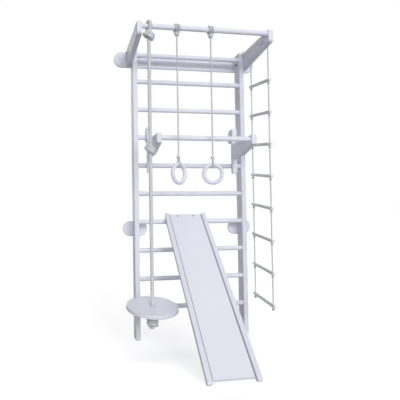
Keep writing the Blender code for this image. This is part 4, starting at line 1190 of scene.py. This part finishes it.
@dataclass
class Fasteners:
    """Bolts and nuts of the arms, and the small screws that the construction leaves out.

    A socket's or a nut's rows give radius, over the socket's or the nut's corners', and height.
    """

    bench: Bench
    sides: int = 48
    socket_radius: float = 0.0032
    socket_rows: tuple[Pair, ...] = ((0.05, 0.003), (0.96, 0.003), (1.0, 0.00651), (1.08, 0.007))
    socket_rim: float = 0.0046
    head_radius: float = 0.011
    head_height: float = 0.007
    head_turn: float = 0.90
    head_power: float = 0.8
    head_rows: int = 9
    shank_radius: float = 0.004
    nut_radius: float = 0.0075
    nut_rows: tuple[Pair, ...] = ((0.93, 0.0), (1.0, 0.0006), (1.0, 0.0074), (0.93, 0.008))
    cap_radius: float = 0.0062
    cap_height: float = 0.005
    cap_turn: float = 0.94
    cap_rows: int = 8
    screw: Screw = Screw()
    deck_screw: Screw = Screw(diameter=0.0160, depth=0.005, recess_reach=0.75, recess_width=0.22,
                              recess_depth=0.003)
    deck_screw_drop: float = 0.020
    hook_screw_rises: tuple[float, ...] = (0.018, 0.058, 0.098)
    batten_screw_reach: float = 0.427
    wall_screw_rise: float = 0.03

    def hexagon(self, flat: float) -> np.ndarray:
        """A hexagon's radius at each column: half its width over the cosine from the nearest flat."""
        return flat / np.cos((round_angles(self.sides) + SIXTH / 2) % SIXTH - SIXTH / 2)

    def set_steel(self, node: str, ending: str, rows: list[np.ndarray], face: float, aim: float,
                  sharp: float) -> None:
        """Makes a bolt or a nut along X.

        Args:
            node: its node.
            ending: what its name adds to the node's.
            rows: its rows about the third axis, in groups.
            face: where along X its height starts.
            aim: 1 where it rises along X, or -1.
            sharp: the angle above which an edge stays sharp.
        """
        _, y, z = self.bench.middle(node)
        skin = Skin(placed(np.concatenate(rows), aimed((face, y, z), (aim, 0.0, 0.0))))
        self.bench.make(node + ending, [skin], self.bench.finishes.steel, node, sharp=sharp)

    def bolt(self, side: str, row: str) -> None:
        """Makes a bolt with a hexagon socket in its domed head.

        The socket's radius follows a hexagon. The dome is close to a quarter ellipse.

        Args:
            side: left or right.
            row: upper or lower.
        """
        node, angles = f"arm_bolt_{side}_{row}", round_angles(self.sides)
        low, high = self.bench.box(node)
        socket = np.array(self.socket_rows)
        lift = np.linspace(QUARTER * self.head_turn, 0, self.head_rows)
        dome = np.maximum(self.head_radius * np.cos(lift) ** self.head_power, self.socket_rim)
        shank = np.array([(self.shank_radius, 0.0),
                          (self.shank_radius, self.head_height - (high[0] - low[0]))])
        rows = [circles(socket[:, :1] * self.hexagon(self.socket_radius), socket[:, 1:], angles),
                circles(dome[:, None], self.head_height * np.sin(lift)[:, None], angles),
                circles(shank[:, :1], shank[:, 1:], angles)]
        face = self.bench.end(f"arm_{side}", SIDES[side])
        self.set_steel(node, "_domed", rows, face, SIDES[side], STEEL_ANGLE)

    def nut(self, side: str, row: str) -> None:
        """Makes a capped hexagon nut whose corners are chamfered.

        Its radius is a hexagon's, and at most that of a chamfer's row. The cap is a quarter ellipse.

        Args:
            side: left or right.
            row: upper or lower.
        """
        node, angles = f"arm_nut_{side}_{row}", round_angles(self.sides)
        flats = np.array(self.nut_rows)
        corner = self.nut_radius / math.cos(SIXTH / 2)
        lift = np.linspace(0, QUARTER * self.cap_turn, self.cap_rows)[:, None]
        radii = np.minimum(self.hexagon(self.nut_radius), corner * flats[:, :1])
        heights = flats[-1, 1] + self.cap_height * np.sin(lift)
        rows = [circles(radii, flats[:, 1:], angles),
                circles(self.cap_radius * np.cos(lift), heights, angles)]
        face = self.bench.end(node, SIDES[side])
        self.set_steel(node, "_capped", rows, face, -SIDES[side], NUT_ANGLE)

    def screws(self, name: str, body: str, places: list[tuple[Point, Point]],
               screw: Screw | None = None) -> None:
        """Sets a group of screws.

        Args:
            name: the piece's name.
            body: the body that carries it.
            places: the middle of each head, and the direction that it faces.
            screw: a blackened screw of its own size, or None for the common grey one.
        """
        skins = [(screw or self.screw).skin(place, outwards) for place, outwards in places]
        coat = self.bench.finishes.black_steel if screw else self.bench.finishes.steel
        self.bench.make(name, skins, coat, body=body, sharp=STEEL_ANGLE)

    def wall_screws(self) -> list[tuple[Point, Point]]:
        """Screws through the wall boards into the uprights: in the batten, then in each plate.

        Returns:
            Their places and directions.
        """
        back, height = self.bench.box("wall_batten")[1][1], self.bench.middle("wall_batten")[2]
        spots = [(sign * self.batten_screw_reach, height) for sign in SIDES.values()]
        spots += [tuple(self.bench.middle(f"wall_plate_{side}")[[0, 2]]) for side in SIDES]
        return [((x, back, z + rise), TO_WALL) for x, z in spots
                for rise in (-self.wall_screw_rise, self.wall_screw_rise)]

    def build(self) -> None:
        """Makes the bolts and nuts, and screws for the wall boards, the arms, the slide and the hooks."""
        for side in SIDES:
            for row in ("upper", "lower"):
                self.bolt(side, row)
                self.nut(side, row)
        self.screws("wall_board_screws", "frame", self.wall_screws())
        _, y, z = self.bench.middle("top_bar")
        reach = self.bench.end("arm_right", 1.0)
        self.screws("top_bar_screws", "frame",
                    [((sign * reach, y, z), (sign, 0.0, 0.0)) for sign in SIDES.values()])
        deck = [(self.bench.on_slide(self.bench.middle(f"slide_hook_{side}")[0], 0.0, self.deck_screw_drop),
                 OFF_SLIDE) for side in SIDES]
        self.screws("slide_deck_screws", "slide", deck, self.deck_screw)
        back = self.bench.box("rung_06")[0][1] - SEAT_GAP
        hooks = []
        for side in SIDES:
            low, high = self.bench.box(f"pull_up_gusset_{side}")
            hooks += [(((low[0] + high[0]) / 2, back, low[2] + rise), TO_WALL)
                      for rise in self.hook_screw_rises]
        self.screws("pull_up_hook_screws", "pull_up", hooks)


@dataclass
class ClimbingRope:
    """The thick rope: its eye over the top bar, three knots and the disc seat."""

    bench: Bench
    diameter: float = 0.025
    turn: float = 3.6
    top_tuck: float = 0.004
    eye_spacing: float = 0.028
    eye_drop: float = 0.040
    eye_aim: float = 0.25
    eye_skew: float = 0.007
    eye_tail: float = 0.02
    eye_steps: int = 40
    leg_steps: int = 14
    top_knot: Knot = Knot(0.082, 0.060, turns=1.55, start=math.radians(185), slant=0.50,
                          tail=0.016, tail_angle=math.radians(-25), tail_rise=0.10)
    top_rise: float = 0.006
    middle_knot: Knot = Knot(0.080, 0.062, turns=1.60, start=math.radians(165), slant=0.48)
    end_knot: Knot = Knot(0.079, 0.122, turns=4.15, start=math.radians(190), slant=0.10)
    middle_drop: float = 0.826
    end_cover: float = 0.010
    disc_tilt_forward: float = math.radians(12.5)
    disc_tilt_right: float = math.radians(3.5)
    disc_thickness: float = 0.025
    disc_diameter: float = 0.345
    disc_hole: float = 0.034
    disc_edge: float = 0.0035
    disc_ease: float = 0.002
    disc_steps: int = 8
    disc_sides: int = 160

    def build(self) -> None:
        """Makes the rope first, then its eye, its knots and the disc."""
        lay = Lay(self.diameter, self.turn)
        rope = self.bench.finishes.rope
        bar = self.bench.middle("top_bar")
        x, _, top, foot = self.bench.hung("climbing_rope")
        y = bar[1]
        path = lay.straight((x, y, top + self.top_tuck), (x, y, foot + self.end_cover))
        cord = self.bench.make("climbing_rope_laid", [lay.ended(path)], rope, "climbing_rope")
        pieces = [self.bench.make("climbing_rope_eye_laid", [self.eye(lay, x, bar)], rope,
                                  "climbing_rope_eye")]
        knots = {"top": (self.top_knot, top + self.top_rise - self.top_knot.height / 2),
                 "middle": (self.middle_knot, bar[2] - self.middle_drop),
                 "end": (self.end_knot, foot + self.end_knot.height / 2)}
        for name, (knot, height) in knots.items():
            skins = knot.skins(lay, (x, y, height))
            pieces.append(self.bench.make(f"climbing_rope_{name}_knot", skins, rope, body="rope_and_seat"))
        self.disc(x, y)

    def eye(self, lay: Lay, x: float, bar: np.ndarray) -> Skin:
        """Lays the two legs and the half turn over the bar.

        The half turn is an arc about the bar's middle, and it goes over into each straight leg
        where the leg, aimed a quarter of its diameter above its foot, touches it.

        Args:
            lay: the rope.
            x: where along the bar.
            bar: the bar's middle.

        Returns:
            The rope's surface.
        """
        radius = self.bench.over_bar(lay)
        half, drop = self.eye_spacing / 2, self.eye_drop - self.eye_aim * self.diameter
        leave = touching_angle(radius, half, drop)
        angles = np.linspace(leave, math.pi - leave, self.eye_steps)
        arc = np.stack([-self.eye_skew * np.cos(angles), radius * np.cos(angles),
                        radius * np.sin(angles)], axis=1)
        foot = np.array([-self.eye_skew / 2, half, -self.eye_drop - self.eye_tail])
        leg = foot + (arc[0] - foot) * np.linspace(0, 1, self.leg_steps + 1)[:-1, None]
        return lay.through(np.concatenate([leg, arc, leg[::-1] * (-1, -1, 1)]), (x, bar[1], bar[2]))

    def disc(self, x: float, y: float) -> None:
        """Makes the disc seat, turned from a flat profile with rounded rims and a bored middle.

        Args:
            x: where along X the rope is.
            y: where along Y the rope is.
        """
        half, outer, hole = self.disc_thickness / 2, self.disc_diameter / 2, self.disc_hole / 2
        edge, ease, steps = self.disc_edge, self.disc_ease, self.disc_steps
        profile = np.concatenate([
            quarter((hole + ease, -half + ease), ease, math.pi),
            quarter((outer - edge, -half + edge), edge, -QUARTER, steps),
            quarter((outer - edge, half - edge), edge, 0.0, steps),
            quarter((hole + ease, half - ease), ease, QUARTER)])
        normal = (math.tan(self.disc_tilt_right), -math.tan(self.disc_tilt_forward), 1.0)
        place = aimed((x, y, self.bench.middle("disc_seat")[2]), normal)
        self.bench.make("disc_seat_turned", [turned(profile, self.disc_sides, place, closed=True)],
                        self.bench.finishes.paint[Axis.X], "disc_seat", sharp=TURNED_ANGLE)


@dataclass
class Ring:
    """One gymnastic ring with its rope."""

    bench: Bench
    side: str
    twist: float
    diameter: float = 0.011
    turn: float = 3.4
    sides: int = 7
    top_tuck: float = 0.004
    ring_diameter: float = 0.150
    tube: float = 0.026
    ring_steps: int = 112
    tube_sides: int = 32
    passes: int = 3
    pitch: float = 0.0117
    pass_steps: int = 60
    wrap_drop: float = 0.046
    draw_in: float = 0.006
    spacing: float = 0.013
    leg_tail: float = 0.006
    hitch: Knot = Knot(0.032, 0.032, turns=2.4, start=math.radians(190), slant=0.40)
    hitch_rise: float = 0.004
    knot: Knot = Knot(0.028, 0.026, turns=1.6, start=math.radians(120), slant=0.40,
                      tail=0.010, tail_angle=math.radians(190), tail_rise=-0.3)
    knot_rise: float = 0.033

    def wound(self, radius: float, passes: int, pitch: float, drop: float, draw_in: float) -> np.ndarray:
        """Winds the rope over a round bar and down on both sides to a knot.

        It follows the bar as a helix and leaves it at a tangent on each side.

        Args:
            radius: the distance from the bar's middle.
            passes: how often it goes over the bar.
            pitch: how far a turn moves on along the bar.
            drop: how far below the bar's middle the knot is.
            draw_in: the height over which the two legs come together, or 0.

        Returns:
            The points to pass through, from the bar's middle.
        """
        half, straight = self.spacing / 2, self.diameter
        meet = drop - straight - draw_in
        leave = touching_angle(radius, half, meet)
        total = math.pi - 2 * leave + TAU * (passes - 1)
        angles = leave + total * np.linspace(0, 1, self.pass_steps * passes)
        helix = np.stack([(angles - leave - total / 2) / TAU * pitch, radius * np.cos(angles),
                          radius * np.sin(angles)], axis=1)
        wide = helix[0, 0]
        leg = [(wide / 2, half, -drop - self.leg_tail), (wide / 2, half, straight - drop)]
        if draw_in:
            leg.append((wide, half, -meet))
        return np.concatenate([leg, helix, np.array(leg[::-1]) * (-1, -1, 1)])

    def build(self) -> None:
        """Makes the rope, its winding, hitch, knot and loop, and the ring."""
        lay = Lay(self.diameter, self.turn, self.sides)
        rope, side = self.bench.finishes.rope, self.side
        bar = self.bench.middle("top_bar")
        x, _, top, foot = self.bench.hung(f"ring_rope_{side}")
        y = bar[1]
        path = lay.straight((x, y, top + self.top_tuck), (x, y, foot))
        cord = self.bench.make(f"ring_rope_{side}_laid", [lay.ended(path)], rope, f"ring_rope_{side}")

        over = self.wound(self.bench.over_bar(lay), self.passes, self.pitch, self.wrap_drop, self.draw_in)
        hitch = self.hitch.skins(lay, (x, y, top + self.hitch_rise))
        wrap = self.bench.make(f"ring_wrap_{side}_laid", [lay.through(over, (x, y, bar[2])), *hitch], rope,
                               f"ring_wrap_{side}")

        height, mean = self.bench.middle(f"ring_{side}")[2], (self.ring_diameter - self.tube) / 2
        away = (self.tube + self.diameter) / 2 + ROPE_GAP
        under = self.wound(away, passes=1, pitch=0.0, drop=self.knot_rise, draw_in=0.0) * (1, 1, -1)
        twisted = under @ np.array(Matrix.Rotation(self.twist + math.pi, 3, "Z")).T
        knot = self.knot.skins(lay, (x, y, foot + self.knot.height / 2))
        loop = self.bench.make(f"ring_loop_{side}_laid", [lay.through(twisted, (x, y, height + mean)), *knot],
                               rope, f"ring_loop_{side}")

        angles = round_angles(self.tube_sides)
        profile = np.stack([mean + self.tube / 2 * np.cos(angles), self.tube / 2 * np.sin(angles)], axis=1)
        stand = (Matrix.Translation((x, y, height)) @ Matrix.Rotation(self.twist, 4, "Z")
                 @ Matrix.Rotation(QUARTER, 4, "X"))
        self.bench.make(f"ring_{side}_turned", [turned(profile, self.ring_steps, stand, closed=True)],
                        self.bench.finishes.paint[Axis.Z], f"ring_{side}")


@dataclass
class RopeLadder:
    """The rope ladder: anchors through the arm, two ropes, their knots, and the rungs."""

    bench: Bench
    diameter: float = 0.010
    turn: float = 3.2
    sides: int = 7
    knot: Knot = Knot(0.022, 0.019, turns=1.5, start=math.radians(140), slant=0.30,
                      tail=0.006, tail_angle=math.radians(215), tail_rise=-1.1)
    knot_gap: float = 0.0018
    anchor_knot: Knot = Knot(0.030, 0.027, turns=2.6, start=math.radians(140), slant=0.12)
    anchor_gap: float = 0.0005
    anchor_tuck: float = 0.001
    foot_cover: float = 0.002
    rungs: int = 8
    rung_diameter: float = 0.0235
    rung_ease: float = 0.0025
    rung_sides: int = 48

    def build(self) -> None:
        """Makes the two ropes with their knots and anchors, then the rungs."""
        lay = Lay(self.diameter, self.turn, self.sides)
        for end in ("front", "back"):
            self.rope(lay, end)
            self.anchor(lay, end)
        for number in range(1, self.rungs + 1):
            self.rung(number)

    def slope(self) -> float:
        """The rungs' slope, which is that of the line from the front anchor to the back one."""
        _, reach, rise = self.bench.middle("ladder_anchor_back") - self.bench.middle("ladder_anchor_front")
        return math.atan2(rise, reach)

    def rope(self, lay: Lay, end: str) -> None:
        """Makes one rope with a knot under each rung.

        Args:
            lay: the rope.
            end: front or back.
        """
        node, slope = f"ladder_rope_{end}", self.slope()
        x, y, exit_height, foot = self.bench.hung(node)
        top = exit_height + self.diameter / 2
        path = lay.straight((x, y, top), (x, y, foot + self.foot_cover))
        cord = self.bench.make(node + "_laid", [lay.ended(path)], self.bench.finishes.rope, node)
        below = self.rung_diameter / 2 / math.cos(slope) + self.knot.height / 2 + self.knot_gap
        skins = []
        for number in range(1, self.rungs + 1):
            _, middle, height = self.bench.middle(f"ladder_rung_{number}")
            skins += self.knot.skins(lay, (x, y, height + (y - middle) * math.tan(slope) - below))
        knots = self.bench.make(f"ladder_knots_{end}", skins, self.bench.finishes.rope, body="rope_ladder")

    def anchor(self, lay: Lay, end: str) -> None:
        """Makes a rope's end through the arm, with its stopper knot inside and a round outer end.

        Args:
            lay: the rope.
            end: front or back.
        """
        node = f"ladder_anchor_{end}"
        _, y, z = self.bench.middle(node)
        start, outer = self.bench.end(node, -1.0), self.bench.middle(f"ladder_rope_{end}")[0]
        path = lay.straight((start - self.anchor_tuck, y, z), (outer + self.diameter / 2, y, z))
        inner = self.bench.end("arm_right", -1.0) - self.anchor_knot.height / 2 - self.anchor_gap
        lying = Matrix.Translation((inner, y, z)) @ Matrix.Rotation(QUARTER, 4, "Y")
        knot = self.anchor_knot.skins(lay, (0.0, 0.0, 0.0))
        for skin in knot:
            skin.rows = placed(skin.rows, lying)
        # The anchors wear the lighter copy of the rope, which is painted light.
        self.bench.make(node + "_laid", [lay.ended(path), *knot], self.bench.finishes.anchor_rope_lit, node)

    def rung(self, number: int) -> None:
        """Makes one rung with eased ends; the ropes pass through it.

        Args:
            number: its number, from the top.
        """
        node, slope = f"ladder_rung_{number}", self.slope()
        low, high = self.bench.box(node)
        radius, ease = self.rung_diameter / 2, self.rung_ease
        half = ((high[1] - low[1]) / 2 - radius * math.sin(slope)) / math.cos(slope)
        profile = np.concatenate([quarter((radius - ease, -half + ease), ease, -QUARTER),
                                  quarter((radius - ease, half - ease), ease, 0.0)])
        place = aimed((low + high) / 2, (0.0, math.cos(slope), math.sin(slope)))
        self.bench.make(node + "_turned", [turned(profile, self.rung_sides, place)],
                        self.bench.finishes.rung, node, sharp=TURNED_ANGLE)


# Studio

@dataclass(frozen=True)
class Lamp:
    """A soft distant lamp, which shines from its source's direction."""

    name: str
    source: Point
    strength: float
    spread: float

    def build(self) -> None:
        """Adds the lamp."""
        data = bpy.data.lights.new(self.name, "SUN")
        data.energy, data.angle = self.strength, self.spread
        in_scene(self.name, data).rotation_euler = Vector(self.source).to_track_quat("Z", "Y").to_euler()


@dataclass
class Studio:
    """The camera at the photograph's place, the pale floor and the soft light."""

    camera_place: Point = (-0.94266, -3.114812, 0.90493)
    camera_right: Point = (0.981262, -0.192134, -0.014463)
    camera_up: Point = (0.007622, -0.036299, 0.999312)
    camera_ahead: Point = (0.192527, 0.980697, 0.034154)
    camera_reach: float = 200.0
    focal_pixels: float = 480.0
    image_pixels: float = 400.0
    sensor: float = 36.0
    centre_pixel: Pair = (161.22, 202.69)
    floor_size: float = 80.0
    floor_seen: float = 0.90
    floor_bounce: float = 0.45
    floor_glow: float = 0.47
    floor_roughness: float = 0.95
    ambient: float = 0.22
    lamps: tuple[Lamp, ...] = (
        Lamp("low_sun", (0.15, -0.955, 0.25), 0.45, math.radians(6.0)),
        Lamp("key", (0.30, -0.93, 0.22), 1.28, math.radians(40.0)),
        Lamp("fill", (-0.32, -0.93, 0.20), 0.80, math.radians(40.0)),
        Lamp("overhead", (0.00, -0.15, 0.99), 0.46, math.radians(60.0)),
        Lamp("behind", (0.20, 0.97, 0.10), 1.85, math.radians(50.0)))

    def build(self) -> None:
        """Makes the camera, the lamps, the world and the floor."""
        self.camera()
        for lamp in self.lamps:
            lamp.build()
        self.world()
        self.floor()
        bpy.context.scene.view_settings.view_transform = "Standard"

    def camera(self) -> None:
        """Sets the camera from its axes, with the shift that the photograph's cropping needs."""
        data = bpy.data.cameras.new("camera")
        data.sensor_width = self.sensor
        data.lens = self.focal_pixels / self.image_pixels * self.sensor
        data.shift_x = 0.5 - self.centre_pixel[0] / self.image_pixels
        data.shift_y = self.centre_pixel[1] / self.image_pixels - 0.5
        data.clip_end = self.camera_reach
        made = in_scene("camera", data)
        axes = Matrix((self.camera_right, self.camera_up, [-v for v in self.camera_ahead])).transposed()
        made.matrix_world = Matrix.Translation(self.camera_place) @ axes.to_4x4()
        bpy.context.scene.camera = made

    def world(self) -> None:
        """Makes a grey surround that the camera, gloss and glass see as white."""
        world = bpy.data.worlds.new("studio")
        world.use_nodes = True
        nodes = Nodes(world.node_tree)
        background = nodes.tree.nodes["Background"].inputs
        nodes.feed(background["Color"], WHITE)
        strength = nodes.ranged(nodes.background_ray(), (0.0, 1.0), (self.ambient, 1.0))
        nodes.feed(background["Strength"], strength)
        bpy.context.scene.world = world

    def floor(self) -> None:
        """Makes a matt floor that looks white where nothing shades it and keeps a pale shadow."""
        half = self.floor_size / 2
        mesh = bpy.data.meshes.new("floor")
        corners = [(-half, -half, 0), (half, -half, 0), (half, half, 0), (-half, half, 0)]
        mesh.from_pydata(corners, [], [(0, 1, 2, 3)])
        shader = Shader("pale_floor")
        seen = shader.background_ray()
        mesh.materials.append(shader.finished({
            "Base Color": shader.mixed(seen, (self.floor_bounce,) * 3, (self.floor_seen,) * 3),
            "Roughness": self.floor_roughness,
            "Specular IOR Level": 0.0,
            "Emission Color": WHITE,
            "Emission Strength": shader.ranged(seen, (0.0, 1.0), (0.0, self.floor_glow))}))
        in_scene("floor", mesh)


def main() -> None:
    """Builds the studio, then the ropes, then the wooden pieces and the fasteners."""
    logging.basicConfig(level=logging.INFO, format="%(message)s")
    bench = Bench()
    Studio().build()
    ClimbingRope(bench).build()
    for side, twist in RING_TWISTS.items():
        Ring(bench, side, twist).build()
    for kind in (RopeLadder, RoundBars, Boards, WallBoards, SlideRails, Deck, Fasteners):
        kind(bench).build()


if __name__ == "__main__":
    main()
